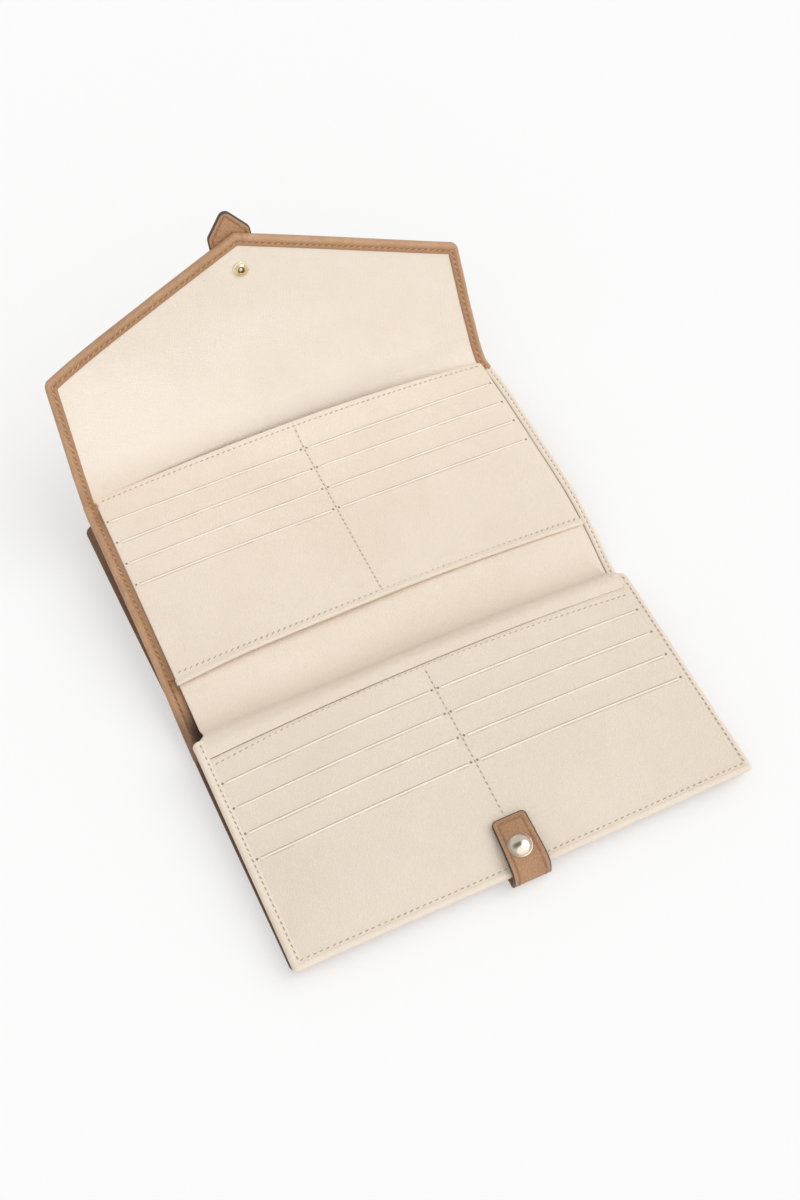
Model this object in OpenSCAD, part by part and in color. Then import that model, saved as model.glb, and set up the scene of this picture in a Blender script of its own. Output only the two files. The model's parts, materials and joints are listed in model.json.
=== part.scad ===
// Coupon organizer wallet, lying open with its envelope flap raised.
// X runs along the folds, Y from the front edge to the flap, Z up from the table.
// Every panel is drawn flat in the frame of its own fold, where y runs along the panel
// and z stands on the cover's inner face, and each frame is hung on the fold before it.

/* [Cover] */
// Width of the cover along its folds
cover_w = 196; // [170:1:230]
// Thickness of the outer leather
leather_t = 1.4; // [0.8:0.1:2]
// Thickness of the lining
lining_t = 0.9; // [0.6:0.1:1.4]
// Front cover, from its fold to its free edge
front_l = 102.5; // [96:0.5:103]
// Spine, from the front fold to the back fold
spine_l = 29; // [27:0.2:36]
// Back cover, from its fold to the flap's fold
back_l = 107.5; // [106:0.5:125]
// Radius of the cover's free corners
corner_r = 8; // [2:0.5:15]
// Width of the turned edges that run along the sides
edge_w = 5.5; // [4:0.5:8]
// Thickness of the turned edges
edge_t = 0.6; // [0.4:0.1:0.8]
// Open gap on each side of a fold
fold_gap = 0.5; // [0.5:0.1:0.8]

/* [Pose] */
// Slope of the spine
spine_pitch = 13.5; // [8:0.5:18]
// Slope of the back cover
back_pitch = 5.4; // [4:0.2:8]
// Slope of the strip between the back cover and the flap
bridge_pitch = 64; // [40:1:80]
// Slope of the flap
flap_pitch = 75; // [64:1:85]
// Slope of the lower card page
page_pitch = 4.3; // [3:0.1:5]

/* [Flap] */
// Flap, from its fold to its point
flap_l = 64.5; // [50:0.5:80]
// Straight part of the flap's sides
shoulder_l = 24.5; // [12:0.5:30]
// Radius of the flap's shoulders
shoulder_r = 6; // [2:0.5:10]
// Width of the binding round the flap
binding_w = 7; // [5:0.5:9]
// Thickness of the binding
binding_t = 0.8; // [0.4:0.1:1]
// Width of the strap behind the flap
strap_w = 18.5; // [14:0.5:24]
// Length of the strap
strap_l = 52; // [40:1:60]
// How far the strap's point stands out past the flap
strap_out = 11; // [6:0.5:16]
// Length of the strap's tapered end
strap_taper = 13; // [8:0.5:18]
// Radius of the strap's corners
strap_r = 1.5; // [0.5:0.1:2]
// Thickness of one of the strap's two layers
strap_t = 0.9; // [0.6:0.1:1.4]

/* [Card pages] */
// Width of the lower card page
page_w = 194; // [190:1:196]
// Length of the lower card page
page_l = 102.5; // [97:0.5:103.5]
// Gap between the lower page's roll and the front fold
page_gap = 2; // [1.8:0.1:3]
// Width of the upper card page
upper_w = 187; // [184:1:190]
// Length of the upper card page
upper_l = 100.5; // [97:0.5:103]
// Thickness of a card face
face_t = 0.9; // [0.5:0.1:1.2]
// Thickness of a page's backing
backing_t = 0.8; // [0.6:0.1:1.2]
// Thickness of a pocket leaf
leaf_t = 0.3; // [0.2:0.05:0.4]
// Pitch from one pocket leaf to the next through the page
leaf_pitch = 0.4; // [0.4:0.05:0.5]
// Number of slits in a column
slits = 4; // [2:1:4]
// Length of a slit
slit_l = 88; // [86:0.5:90]
// Width of a slit
slit_w = 0.8; // [0.4:0.1:1.2]
// Distance from one slit to the next
slit_pitch = 12; // [9:0.5:12]
// Gap between the two columns of slits
column_gap = 5.3; // [4:0.1:6]
// First slit of the lower page, from the page's free edge
lower_slit = 85.2; // [80:0.2:87]
// First slit of the upper page, from the page's hem
upper_slit = 87; // [82:0.5:90]
// Depth of a card pocket below its slit
pocket_l = 52; // [40:1:56]
// Seam along a page's foot, from its edge
seam_in = 4.5; // [3:0.5:6]
// Width of the lower page's turned border
border_w = 5; // [4:0.5:5]
// Thickness of the border and of the upper page's hem
border_t = 0.4; // [0.3:0.1:0.6]
// Width of the upper page's hem
hem_w = 3.5; // [2:0.5:5]
// Length of the roll at the lower page's fold end
roll_l = 6; // [4:0.5:8]
// Radius of the page's free corners
page_r = 2; // [1:0.5:4]
// Height of the lower page's free edge over the front cover's lining
mouth_h = 2.9; // [2:0.1:5]
// Height of the upper page over the back cover's lining
slip_h = 1.2; // [0.8:0.1:2]
// Upper page's hem, from the back fold
lip_in = 4.8; // [3:0.1:5]
// Thickness of the inner sheet over the spine
sheet_t = 0.9; // [0.5:0.1:1.2]
// Sag of the inner sheet between the two pages
sheet_sag = 3; // [1:0.5:4]
// Level part of the inner sheet, next to the lower page
crest_l = 6; // [3:0.5:8]
// Sheet's fall from the crest to the valley
fall_l = 5; // [3:0.5:7]
// Length of the valley
valley_l = 7; // [3:0.5:9]
// Gap between the lower page's face and its roll
roll_gap = 0.3; // [0.2:0.1:0.6]

/* [Rear pocket] */
// Length of the rear pocket's panel
pocket_panel_l = 100; // [90:1:105]
// Rear pocket's foot, from the back fold
pocket_in = 6; // [5:0.5:10]
// Thickness of the rear pocket's leather
pocket_leather_t = 1; // [0.8:0.1:1.4]
// Thickness of the rear pocket's lining
pocket_lining_t = 0.8; // [0.5:0.1:1]
// Thickness of the rear pocket's side gussets
gusset_t = 0.7; // [0.5:0.1:1]
// Gussets, from the sides of the cover and from the pocket's mouth
gusset_in = 5; // [3:0.5:10]

/* [Snap tab] */
// Width of the tab
tab_w = 14.8; // [12:0.2:18]
// Tab's reach over the page from its free edge
tab_reach = 21.4; // [17:0.2:26]
// Length of the tab's sewn end under the front cover
anchor_l = 18; // [12:1:25]
// Thickness of the tab's leather
tab_leather_t = 1; // [0.7:0.1:1.2]
// Thickness of the tab's lining
tab_lining_t = 0.6; // [0.4:0.1:0.8]
// Gap between the tab and what it goes round
tab_gap = 0.6; // [0.4:0.1:1]
// Snap's centre, from the page's free edge
tab_snap_in = 10; // [9.5:0.5:12]
// Height of the tab's underside over the card face
tab_lift = 1.6; // [1.6:0.1:2]

/* [Snaps] */
// Diameter of the tab's domed cap
tab_cap_d = 10; // [8:0.2:12]
// Diameter of the cap behind the flap
flap_cap_d = 12; // [9:0.2:14]
// Height of a cap
cap_h = 2; // [1.5:0.1:2.4]
// Outside diameter of a snap's socket
socket_d = 8; // [7:0.1:8.6]
// Bore of a socket
socket_bore = 5.2; // [5:0.1:5.4]
// Height of a socket
socket_h = 1; // [0.9:0.1:1.1]
// Diameter of a stud's flange
flange_d = 7; // [6:0.1:8]
// Thickness of a stud's flange
flange_t = 0.4; // [0.3:0.05:0.5]
// Diameter of a stud's post
post_d = 3.4; // [3:0.1:3.6]
// Height of a stud over the leather it stands on
stud_h = 1.5; // [1.4:0.05:1.6]
// Diameter of the washer behind a stud
washer_d = 8; // [7:0.1:9]
// Thickness of the washer behind a stud
washer_t = 0.5; // [0.3:0.1:0.6]
// Diameter of the shank that rivets a snap through its leather
shank_d = 2; // [1.6:0.1:2.4]
// Clearance round a shank
shank_gap = 0.05; // [0.02:0.01:0.1]
// Flap's snap, from the flap's point
flap_snap_in = 17; // [12:0.5:20]
// Gap between the closed flap and the front cover
snap_gap = 2.1; // [2.1:0.1:2.6]

/* [Hidden] */
$fn = 64;
tan = [0.66, 0.48, 0.36];
tan_dark = [0.50, 0.35, 0.26];
cream = [0.91, 0.85, 0.77];
fabric = [0.84, 0.78, 0.70];
silver = [0.78, 0.78, 0.80];
gold = [0.83, 0.70, 0.42];
arc_steps = 10;
cover_t = leather_t + lining_t;
strap_total_t = 2 * strap_t;
tab_t = tab_leather_t + tab_lining_t;
pocket_t = pocket_leather_t + pocket_lining_t;
leaves_t = slits * leaf_pitch;
page_t = backing_t + leaves_t + face_t;
// The bridge spans the folded wallet: spine, front cover and the flap's snap.
bridge_l = spine_l + cover_t + snap_gap;
flap_snap_y = flap_l - flap_snap_in;
front_stud_y = flap_snap_y - back_l;
// The front cover stands on its stud, so its inner face is this high.
front_z = stud_h + cover_t;
page_z = front_z + mouth_h;
page_foot = -page_l * cos(page_pitch) - page_gap;
tab_outer = page_foot - tab_gap - tab_t;
spine_y = spine_l * cos(spine_pitch);
spine_z = front_z + spine_l * sin(spine_pitch);
bridge_y = spine_y + back_l * cos(back_pitch);
bridge_z = spine_z + back_l * sin(back_pitch);
flap_y = bridge_y + bridge_l * cos(bridge_pitch);
flap_z = bridge_z + bridge_l * sin(bridge_pitch);
strap_tip_y = flap_l + strap_out;
outer_n = cover_t + strap_total_t;
// Raised edges stop short of a fold by their own thickness, so that it closes.
edge_gap = fold_gap + edge_t;
binding_gap = fold_gap + binding_t;
back_most = flap_y + strap_tip_y * cos(flap_pitch) + outer_n * sin(flap_pitch);
center_y = (back_most + tab_outer) / 2;

// A point on an arc that rounds the corner b between a and c.
function unit(v) = v / norm(v);
function corner(a, b, c, r) =
    let (
        u = unit(a - b),
        w = unit(c - b),
        half = acos(u * w) / 2,
        centre = b + unit(u + w) * r / sin(half),
        first = b + u * r / tan(half) - centre,
        last = b + w * r / tan(half) - centre,
        swing = 180 - 2 * half,
        sense = first[0] * last[1] - first[1] * last[0] > 0 ? 1 : -1
    )
    r <= 0 ? [b] : [
        for (i = [0:arc_steps])
            let (t = sense * swing * i / arc_steps)
            centre + [first[0] * cos(t) - first[1] * sin(t), first[0] * sin(t) + first[1] * cos(t)]
    ];
// An outline whose corners are rounded by the radii of the second list.
function rounded(points, radii) = [
    for (i = [0:len(points) - 1])
        let (n = len(points))
        each corner(points[(i + n - 1) % n], points[i], points[(i + 1) % n], radii[i])
];
// The flap's outline drawn in from its edges by inset, down to foot from the fold.
function flap_outline(inset, foot) =
    let (
        half = cover_w / 2,
        rise = flap_l - shoulder_l,
        slant = inset * norm([half, rise]) / half,
        side = half - inset,
        radius = max(shoulder_r - inset, 0.5)
    )
    rounded(
        [
            [-side, foot], [side, foot],
            [side, flap_l - slant - side * rise / half],
            [0, flap_l - slant],
            [-side, flap_l - slant - side * rise / half]
        ],
        [0, 0, radius, 0, radius]
    );

module front_frame() {
    translate([0, -center_y, front_z]) children();
}
module page_frame() {
    translate([0, page_foot - center_y, page_z]) rotate([page_pitch, 0, 0]) children();
}
module spine_frame() {
    translate([0, -center_y, front_z]) rotate([spine_pitch, 0, 0]) children();
}
module back_frame() {
    translate([0, spine_y - center_y, spine_z]) rotate([back_pitch, 0, 0]) children();
}
module upper_frame() {
    back_frame() translate([0, lip_in, slip_h]) children();
}
module rear_frame() {
    translate([0, spine_y + pocket_in - center_y, 0]) children();
}
module bridge_frame() {
    translate([0, bridge_y - center_y, bridge_z]) rotate([bridge_pitch, 0, 0]) children();
}
module flap_frame() {
    translate([0, flap_y - center_y, flap_z]) rotate([flap_pitch, 0, 0]) children();
}
// A flat panel of width w from y0 to y1, from height z0 up to z0 + t.
module panel(w, y0, y1, z0, t) {
    translate([-w / 2, y0, z0]) cube([w, y1 - y0, t]);
}
// The same, centred on x instead of on the wallet.
module strip(x, w, y0, y1, z0, t) {
    translate([x, 0, 0]) panel(w, y0, y1, z0, t);
}
// A panel whose two corners at y1 are rounded.
module round_panel(w, y0, y1, z0, t, r) {
    points = [[-w / 2, y0], [w / 2, y0], [w / 2, y1], [-w / 2, y1]];
    translate([0, 0, z0]) linear_extrude(t) polygon(rounded(points, [0, 0, r, r]));
}
// A spherical cap of diameter d and height h.
module dome(d, h) {
    r = (d * d / 4 + h * h) / (2 * h);
    intersection() {
        translate([0, 0, h - r]) sphere(r = r, $fn = 96);
        cylinder(d = d, h = h);
    }
}
module socket() {
    difference() {
        cylinder(d = socket_d, h = socket_h);
        translate([0, 0, -socket_h]) cylinder(d = socket_bore, h = 3 * socket_h);
    }
}
// A stud of height h on the leather, with its shank through the leather to depth.
module stud(h, depth) {
    cylinder(d = flange_d, h = flange_t);
    cylinder(d = post_d, h = h);
    shank(depth);
}
// A shank from the surface down to depth.
module shank(depth) {
    translate([0, 0, -depth]) cylinder(d = shank_d, h = depth);
}
// The hole for a shank, through all of a layered panel about height 0.
module shank_hole(y) {
    reach = outer_n + page_t;
    translate([0, y, -reach]) cylinder(d = shank_d + 2 * shank_gap, h = 2 * reach);
}
module slit_cuts(first) {
    for (side = [-1, 1]) {
        for (i = [0:slits - 1]) {
            x = side * (column_gap + slit_l) / 2;
            y = first - i * slit_pitch;
            strip(x, slit_l, y - slit_w / 2, y + slit_w / 2, 0, page_t);
        }
    }
}
// One column of pocket leaves: each hangs behind its slit, one layer lower than the last.
module pocket_column(side, first) {
    for (i = [0:slits - 1]) {
        top = first - i * slit_pitch + slit_w;
        foot = max(seam_in, top - pocket_l);
        z = backing_t + i * leaf_pitch + (leaf_pitch - leaf_t) / 2;
        strip(side * (column_gap + slit_l) / 2, slit_l + 1, foot, top, z, leaf_t);
    }
}

module back_leather() {
    color(tan) back_frame() panel(cover_w, fold_gap, back_l - fold_gap, -cover_t, leather_t);
}
module back_lining() {
    color(cream) back_frame() panel(cover_w, fold_gap, back_l - fold_gap, -lining_t, lining_t);
}
module edge_strip(side) {
    back_frame() strip(side * (cover_w - edge_w) / 2, edge_w, edge_gap, back_l - edge_gap, 0, edge_t);
}
module edge_strip_left() {
    color(tan) edge_strip(-1);
}
module edge_strip_right() {
    color(cream) edge_strip(1);
}
// Height of the back cover's outer face, at y from the rear pocket's foot.
function back_under(y) = spine_z - cover_t / cos(back_pitch) + (pocket_in + y) * tan(back_pitch);
// A wall of the rear pocket, from the pocket's panel up to the back cover, seen from its side.
module rear_wall(y0, y1, w) {
    rear_frame() translate([-w / 2, 0, 0]) rotate([90, 0, 90]) linear_extrude(w)
        polygon([[y0, pocket_t], [y1, pocket_t], [y1, back_under(y1)], [y0, back_under(y0)]]);
}
module rear_gusset(side) {
    run = pocket_panel_l - gusset_in;
    translate([side * (cover_w / 2 - gusset_in), 0, 0]) rear_wall(gusset_t, run, gusset_t);
}
module rear_gusset_left() {
    color(tan_dark) rear_gusset(-1);
}
module rear_gusset_right() {
    color(tan_dark) rear_gusset(1);
}
module rear_gusset_foot() {
    color(tan_dark) rear_wall(0, gusset_t, cover_w - 2 * gusset_in + gusset_t);
}
module rear_pocket_leather() {
    color(tan) rear_frame() round_panel(cover_w, 0, pocket_panel_l, 0, pocket_leather_t, corner_r);
}
module rear_pocket_lining() {
    color(tan_dark) rear_frame()
        round_panel(cover_w, 0, pocket_panel_l, pocket_leather_t, pocket_lining_t, corner_r);
}
module upper_card_face() {
    color(cream) upper_frame() difference() {
        panel(upper_w, 0, upper_l, backing_t + leaves_t, face_t);
        slit_cuts(upper_slit);
    }
}
module upper_pockets_left() {
    color(fabric) upper_frame() pocket_column(-1, upper_slit);
}
module upper_pockets_right() {
    color(fabric) upper_frame() pocket_column(1, upper_slit);
}
module upper_page_backing() {
    color(cream) upper_frame() panel(upper_w, 0, upper_l, 0, backing_t);
}
module upper_hem() {
    color(cream) upper_frame() panel(upper_w, 0, hem_w, page_t, border_t);
}
module spine_leather() {
    color(tan) spine_frame() panel(cover_w, fold_gap, spine_l - fold_gap, -cover_t, leather_t);
}
module spine_lining() {
    color(cream) spine_frame() panel(cover_w, fold_gap, spine_l - fold_gap, -lining_t, lining_t);
}
module spine_edge(side) {
    spine_frame() strip(side * (cover_w - edge_w) / 2, edge_w, edge_gap, spine_l - edge_gap, 0, edge_t);
}
module spine_edge_left() {
    color(tan) spine_edge(-1);
}
module spine_edge_right() {
    color(cream) spine_edge(1);
}
// The loose sheet that joins the two pages, sagging into a valley over the spine.
module inner_spine_sheet() {
    front_y = roll_gap - page_gap;
    lip_top = slip_h + page_t + border_t;
    back_y = spine_y + lip_in * cos(back_pitch) - lip_top * sin(back_pitch) - fold_gap;
    front_top = page_z + page_l * sin(page_pitch) + page_t;
    back_top = spine_z + lip_in * sin(back_pitch) + slip_h + page_t - face_t;
    valley = back_top - sheet_sag;
    crest = front_top - sheet_t;
    top = [
        [front_y, front_top], [front_y + crest_l, crest], [front_y + crest_l + fall_l, valley],
        [front_y + crest_l + fall_l + valley_l, valley], [back_y, back_top]
    ];
    low = [for (i = [len(top) - 1:-1:0]) top[i] - [0, sheet_t]];
    color(cream) translate([-upper_w / 2, -center_y, 0]) rotate([90, 0, 90])
        linear_extrude(upper_w) polygon(concat(top, low));
}
module front_leather() {
    color(tan) front_frame() difference() {
        mirror([0, 1, 0]) round_panel(cover_w, fold_gap, front_l, -cover_t, leather_t, corner_r);
        shank_hole(front_stud_y);
    }
}
module front_lining() {
    color(cream) front_frame() mirror([0, 1, 0]) difference() {
        round_panel(cover_w, fold_gap, front_l, -lining_t, lining_t, corner_r);
        translate([0, -front_stud_y, -lining_t]) cylinder(d = washer_d, h = washer_t);
    }
}
module front_stud() {
    color(gold) front_frame() translate([0, front_stud_y, -cover_t]) mirror([0, 0, 1])
        stud(stud_h, leather_t);
}
module front_stud_washer() {
    color(gold) front_frame() translate([0, front_stud_y, -lining_t]) cylinder(d = washer_d, h = washer_t);
}
// The tab's sewn end, on the outside of the front cover.
module tab_anchor() {
    color(tan) front_frame()
        panel(tab_w, -front_l, anchor_l - front_l, -cover_t - tab_leather_t, tab_leather_t);
}
module lower_card_face() {
    color(cream) page_frame() difference() {
        panel(page_w, 0, page_l - roll_l, backing_t + leaves_t, face_t);
        slit_cuts(lower_slit);
        shank_hole(tab_snap_in);
    }
}
module lower_pockets_left() {
    color(fabric) page_frame() pocket_column(-1, lower_slit);
}
module lower_pockets_right() {
    color(fabric) page_frame() pocket_column(1, lower_slit);
}
module lower_page_backing() {
    color(cream) page_frame() difference() {
        panel(page_w, 0, page_l, 0, backing_t);
        translate([0, tab_snap_in, 0]) cylinder(d = washer_d, h = washer_t);
        shank_hole(tab_snap_in);
    }
}
// The turned edge that frames the page on its two sides and its free edge.
module page_border() {
    inner_w = page_w - 2 * border_w;
    outline = [
        [-page_w / 2, 0], [page_w / 2, 0],
        [page_w / 2, page_l - roll_l], [-page_w / 2, page_l - roll_l]
    ];
    color(cream) page_frame() translate([0, 0, page_t]) linear_extrude(border_t) difference() {
        polygon(rounded(outline, [page_r, page_r, 0, 0]));
        translate([-inner_w / 2, border_w]) square([inner_w, page_l]);
    }
}
// The rounded end of the page at the spine, where the inner sheet comes over.
module page_roll() {
    r = page_t / 2;
    color(cream) page_frame() {
        panel(page_w, page_l - roll_l + roll_gap, page_l - r, backing_t, page_t - backing_t);
        translate([-page_w / 2, page_l - r, r]) rotate([0, 90, 0]) intersection() {
            cylinder(r = r, h = page_w);
            translate([-r, 0, 0]) cube([2 * r - backing_t, r, page_w]);
        }
    }
}
module page_stud() {
    color(silver) page_frame() translate([0, tab_snap_in, page_t])
        stud(tab_lift - flange_t, page_t - washer_t);
}
module page_stud_washer() {
    color(silver) page_frame() translate([0, tab_snap_in, 0]) cylinder(d = washer_d, h = washer_t);
}
// Height over the page's foot of a line that runs n above the page's underside, at y from the foot.
function over_page(y, n) = n / cos(page_pitch) + y * tan(page_pitch);
// A layer of the tab seen from its side: over the page, round its free edge and under the
// cover's edge. It lies between two depths below the tab's outer skin.
module tab_layer(outside, inside) {
    top = page_t + tab_lift + tab_t;
    wrap_y = -tab_gap - tab_t;
    foot_y = -front_l - page_foot - tab_gap;
    foot_z = front_z - cover_t - tab_leather_t - page_z;
    points = [
        [tab_reach, over_page(tab_reach, top - outside)],
        [wrap_y + outside, over_page(wrap_y + outside, top - outside)],
        [wrap_y + outside, foot_z + outside], [foot_y, foot_z + outside],
        [foot_y, foot_z + inside], [wrap_y + inside, foot_z + inside],
        [wrap_y + inside, over_page(wrap_y + inside, top - inside)],
        [tab_reach, over_page(tab_reach, top - inside)]
    ];
    difference() {
        translate([-tab_w / 2, page_foot - center_y, page_z]) rotate([90, 0, 90])
            linear_extrude(tab_w) polygon(points);
        page_frame() shank_hole(tab_snap_in);
    }
}
module tab_leather() {
    color(tan) tab_layer(0, tab_leather_t);
}
module tab_lining() {
    color(tan_dark) tab_layer(tab_leather_t, tab_t);
}
module tab_snap_cap() {
    color(silver) page_frame() translate([0, tab_snap_in, page_t + tab_lift + tab_t]) {
        dome(tab_cap_d, cap_h);
        shank(tab_t);
    }
}
module tab_snap_socket() {
    color(silver) page_frame() translate([0, tab_snap_in, page_t + tab_lift - socket_h]) socket();
}
module bridge_leather() {
    color(tan) bridge_frame() panel(cover_w, fold_gap, bridge_l - fold_gap, -cover_t, leather_t);
}
module bridge_lining() {
    color(cream) bridge_frame() panel(cover_w, fold_gap, bridge_l - fold_gap, -lining_t, lining_t);
}
module bridge_edge(side) {
    x = side * (cover_w - binding_w) / 2;
    bridge_frame() strip(x, binding_w, binding_gap, bridge_l - binding_gap, 0, binding_t);
}
module bridge_edge_left() {
    color(tan) bridge_edge(-1);
}
module bridge_edge_right() {
    color(tan) bridge_edge(1);
}
// A layer of the flap from height z up to z + t, with the hole for its snap.
module flap_layer(z, t) {
    flap_frame() difference() {
        translate([0, 0, z]) linear_extrude(t) polygon(flap_outline(0, fold_gap));
        shank_hole(flap_snap_y);
    }
}
module flap_leather() {
    color(tan) flap_layer(-cover_t, leather_t);
}
module flap_lining() {
    color(cream) flap_layer(-lining_t, lining_t);
}
module flap_binding() {
    color(tan) flap_frame() linear_extrude(binding_t) difference() {
        polygon(flap_outline(0, binding_gap));
        polygon(flap_outline(binding_w, 0));
    }
}
// The strap behind the flap, whose pointed end stands out past the flap.
module strap_layer(z) {
    tip = strap_tip_y;
    points = [
        [-strap_w / 2, tip - strap_l], [strap_w / 2, tip - strap_l],
        [strap_w / 2, tip - strap_taper], [0, tip], [-strap_w / 2, tip - strap_taper]
    ];
    flap_frame() difference() {
        translate([0, 0, z]) linear_extrude(strap_t) polygon(rounded(points, [for (p = points) strap_r]));
        shank_hole(flap_snap_y);
    }
}
module flap_strap() {
    color(tan) strap_layer(-outer_n);
}
module flap_strap_backing() {
    color(tan_dark) strap_layer(-cover_t - strap_t);
}
module flap_snap_cap() {
    color(gold) flap_frame() translate([0, flap_snap_y, -outer_n]) mirror([0, 0, 1]) {
        dome(flap_cap_d, cap_h);
        shank(outer_n);
    }
}
module flap_snap_socket() {
    color(gold) flap_frame() translate([0, flap_snap_y, 0]) socket();
}

back_leather();
back_lining();
edge_strip_left();
edge_strip_right();
rear_gusset_left();
rear_gusset_right();
rear_gusset_foot();
rear_pocket_leather();
rear_pocket_lining();
upper_card_face();
upper_pockets_left();
upper_pockets_right();
upper_page_backing();
upper_hem();
spine_leather();
spine_lining();
spine_edge_left();
spine_edge_right();
inner_spine_sheet();
front_leather();
front_lining();
front_stud();
front_stud_washer();
tab_anchor();
lower_card_face();
lower_pockets_left();
lower_pockets_right();
lower_page_backing();
page_border();
page_roll();
page_stud();
page_stud_washer();
tab_leather();
tab_lining();
tab_snap_cap();
tab_snap_socket();
bridge_leather();
bridge_lining();
bridge_edge_left();
bridge_edge_right();
flap_leather();
flap_lining();
flap_binding();
flap_strap();
flap_strap_backing();
flap_snap_cap();
flap_snap_socket();
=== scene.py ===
"""Looks of the coupon organizer wallet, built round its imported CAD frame.

Shapes are worked out in millimetres. A leaf of leather is a surface of two lengths, x across the
wallet and y (or s) along it, and every piece is lifted off such a surface along its normal.
"""

import json
import math

import bpy
import numpy as np
from bpy.props import FloatProperty, FloatVectorProperty, PointerProperty
from mathutils import Matrix


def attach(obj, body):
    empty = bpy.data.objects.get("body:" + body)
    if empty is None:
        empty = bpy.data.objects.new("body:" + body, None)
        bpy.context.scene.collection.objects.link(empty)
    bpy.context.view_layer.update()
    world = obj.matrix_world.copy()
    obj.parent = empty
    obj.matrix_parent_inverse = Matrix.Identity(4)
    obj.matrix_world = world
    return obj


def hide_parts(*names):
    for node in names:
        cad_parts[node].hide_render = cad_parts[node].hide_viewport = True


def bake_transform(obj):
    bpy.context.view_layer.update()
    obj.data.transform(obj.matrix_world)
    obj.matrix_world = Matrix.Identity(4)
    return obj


bl_info = {
    "name": "Coupon organizer wallet",
    "version": (1, 0, 0),
    "blender": (4, 5, 0),
    "location": "View3D > Sidebar > Wallet",
    "description": "Builds the leather, pockets, snaps and stage of an open coupon organizer wallet",
    "category": "Object",
}

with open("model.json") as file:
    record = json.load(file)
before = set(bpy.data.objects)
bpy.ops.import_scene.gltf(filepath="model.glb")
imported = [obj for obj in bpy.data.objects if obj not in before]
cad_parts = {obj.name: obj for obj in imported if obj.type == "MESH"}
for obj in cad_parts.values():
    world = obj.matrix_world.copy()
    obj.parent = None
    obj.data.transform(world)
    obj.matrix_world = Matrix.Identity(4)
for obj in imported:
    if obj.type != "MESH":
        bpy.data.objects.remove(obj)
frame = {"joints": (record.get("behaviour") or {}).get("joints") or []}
MM = 0.001

# Where the folds are, as (Y, Z) in millimetres.
HINGE = {j["name"]: np.array(j["pos_m"][1:]) / MM for j in frame["joints"]}
# Lines below were read with the front fold at Y -36.77, and move with it.
SHIFT = HINGE["front_fold"][0] + 36.77


# Sizes and colours


def colour(name, text, value):
    return FloatVectorProperty(
        name=name, description=text, default=value, min=0, max=1, size=3, subtype="COLOR"
    )


def length(name, text, value, low=0.0, high=10.0):
    """A length given in millimetres and stored in metres"""
    return FloatProperty(
        name=name, description=text, default=value * MM, min=low * MM, max=high * MM,
        unit="LENGTH", precision=5,
    )


class WalletSizes(bpy.types.PropertyGroup):
    """Sizes of the details that the frame leaves open"""

    stitch_pitch: length("Stitch pitch", "Distance from one stitch to the next", 2.6, 1.5, 5)
    stitch_length: length("Stitch length", "Length of a stitch that shows", 1.7, 0.8, 4)
    thread_radius: length("Thread radius", "Radius of the sewing thread", 0.2, 0.1, 0.6)
    lip_height: length("Lip height", "How far a slit's lip stands up", 0.4, 0, 2)
    slit_width: length("Slit width", "Width of a slit's dark opening", 0.32, 0.2, 1.5)
    grain_depth: length("Grain depth", "Depth of the leather's grain", 0.12, 0, 0.5)
    binding_height: length("Binding height", "How far the flap's binding stands up", 1.0, 0.2, 2)
    mouth_rise: length("Mouth rise", "How far the upper page's mouth gapes", 5.5, 0, 9)


class WalletColours(bpy.types.PropertyGroup):
    """Colours of the leathers, the thread and the metals"""

    cream: colour("Cream leather", "Pages, pockets and lining", (0.855, 0.745, 0.625))
    # Besides the cream's random mottling, this colour paints shade: above the slits, along the divider's
    # stitches and in the sheet's valley.
    cream_shade: colour("Cream shade", "Worn and creased places of the cream", (0.71, 0.585, 0.46))
    tan: colour("Tan leather", "Outer leather, binding and strap", (0.565, 0.325, 0.172))
    # Besides the tan's random mottling, this colour paints shade in the grooves along the stitches of the
    # tab, strap, binding and spine edge.
    tan_shade: colour("Tan shade", "Grain and creases of the tan leather", (0.36, 0.185, 0.10))
    # Painted shade: the rear pocket is tan leather in shade, so this dark colour is painted shade; it also
    # paints shade by the spine's fold, on the cover's side edges and on the left spine edge's stitches.
    brown: colour("Brown leather", "Rear pocket", (0.29, 0.16, 0.095))
    # Partly the cream thread's own colour and partly painted shade: this dark olive also stands for the
    # shadow in the stitch holes.
    thread: colour("Thread", "Thread on the cream leather", (0.34, 0.265, 0.155))
    tan_thread: colour("Tan thread", "Thread on the tan leather", (0.52, 0.32, 0.17))
    paint: colour("Edge paint", "Painted edges of the tab and the strap", (0.03, 0.022, 0.02))
    cloth: colour("Pocket cloth", "Cloth of the card pockets", (0.58, 0.50, 0.41))
    silver: colour("Silver", "Small parts of the snaps", (0.80, 0.79, 0.77))
    dome: colour("Dome", "Domed cap of the tab", (0.88, 0.78, 0.65))
    seam_thread: colour("Seam thread", "Thread on the tab and the strap", (0.30, 0.165, 0.085))
    gold: colour("Gold", "Snap on the flap", (0.84, 0.70, 0.44))
    floor: colour("Floor", "Table under the wallet", (0.95, 0.95, 0.95))


# Curves and surfaces


def smooth(low, high, x):
    """0 below low, 1 above high and 3t^2 - 2t^3 between them."""
    t = np.clip((np.asarray(x, float) - low) / (high - low), 0, 1)
    return t * t * (3 - 2 * t)


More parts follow.
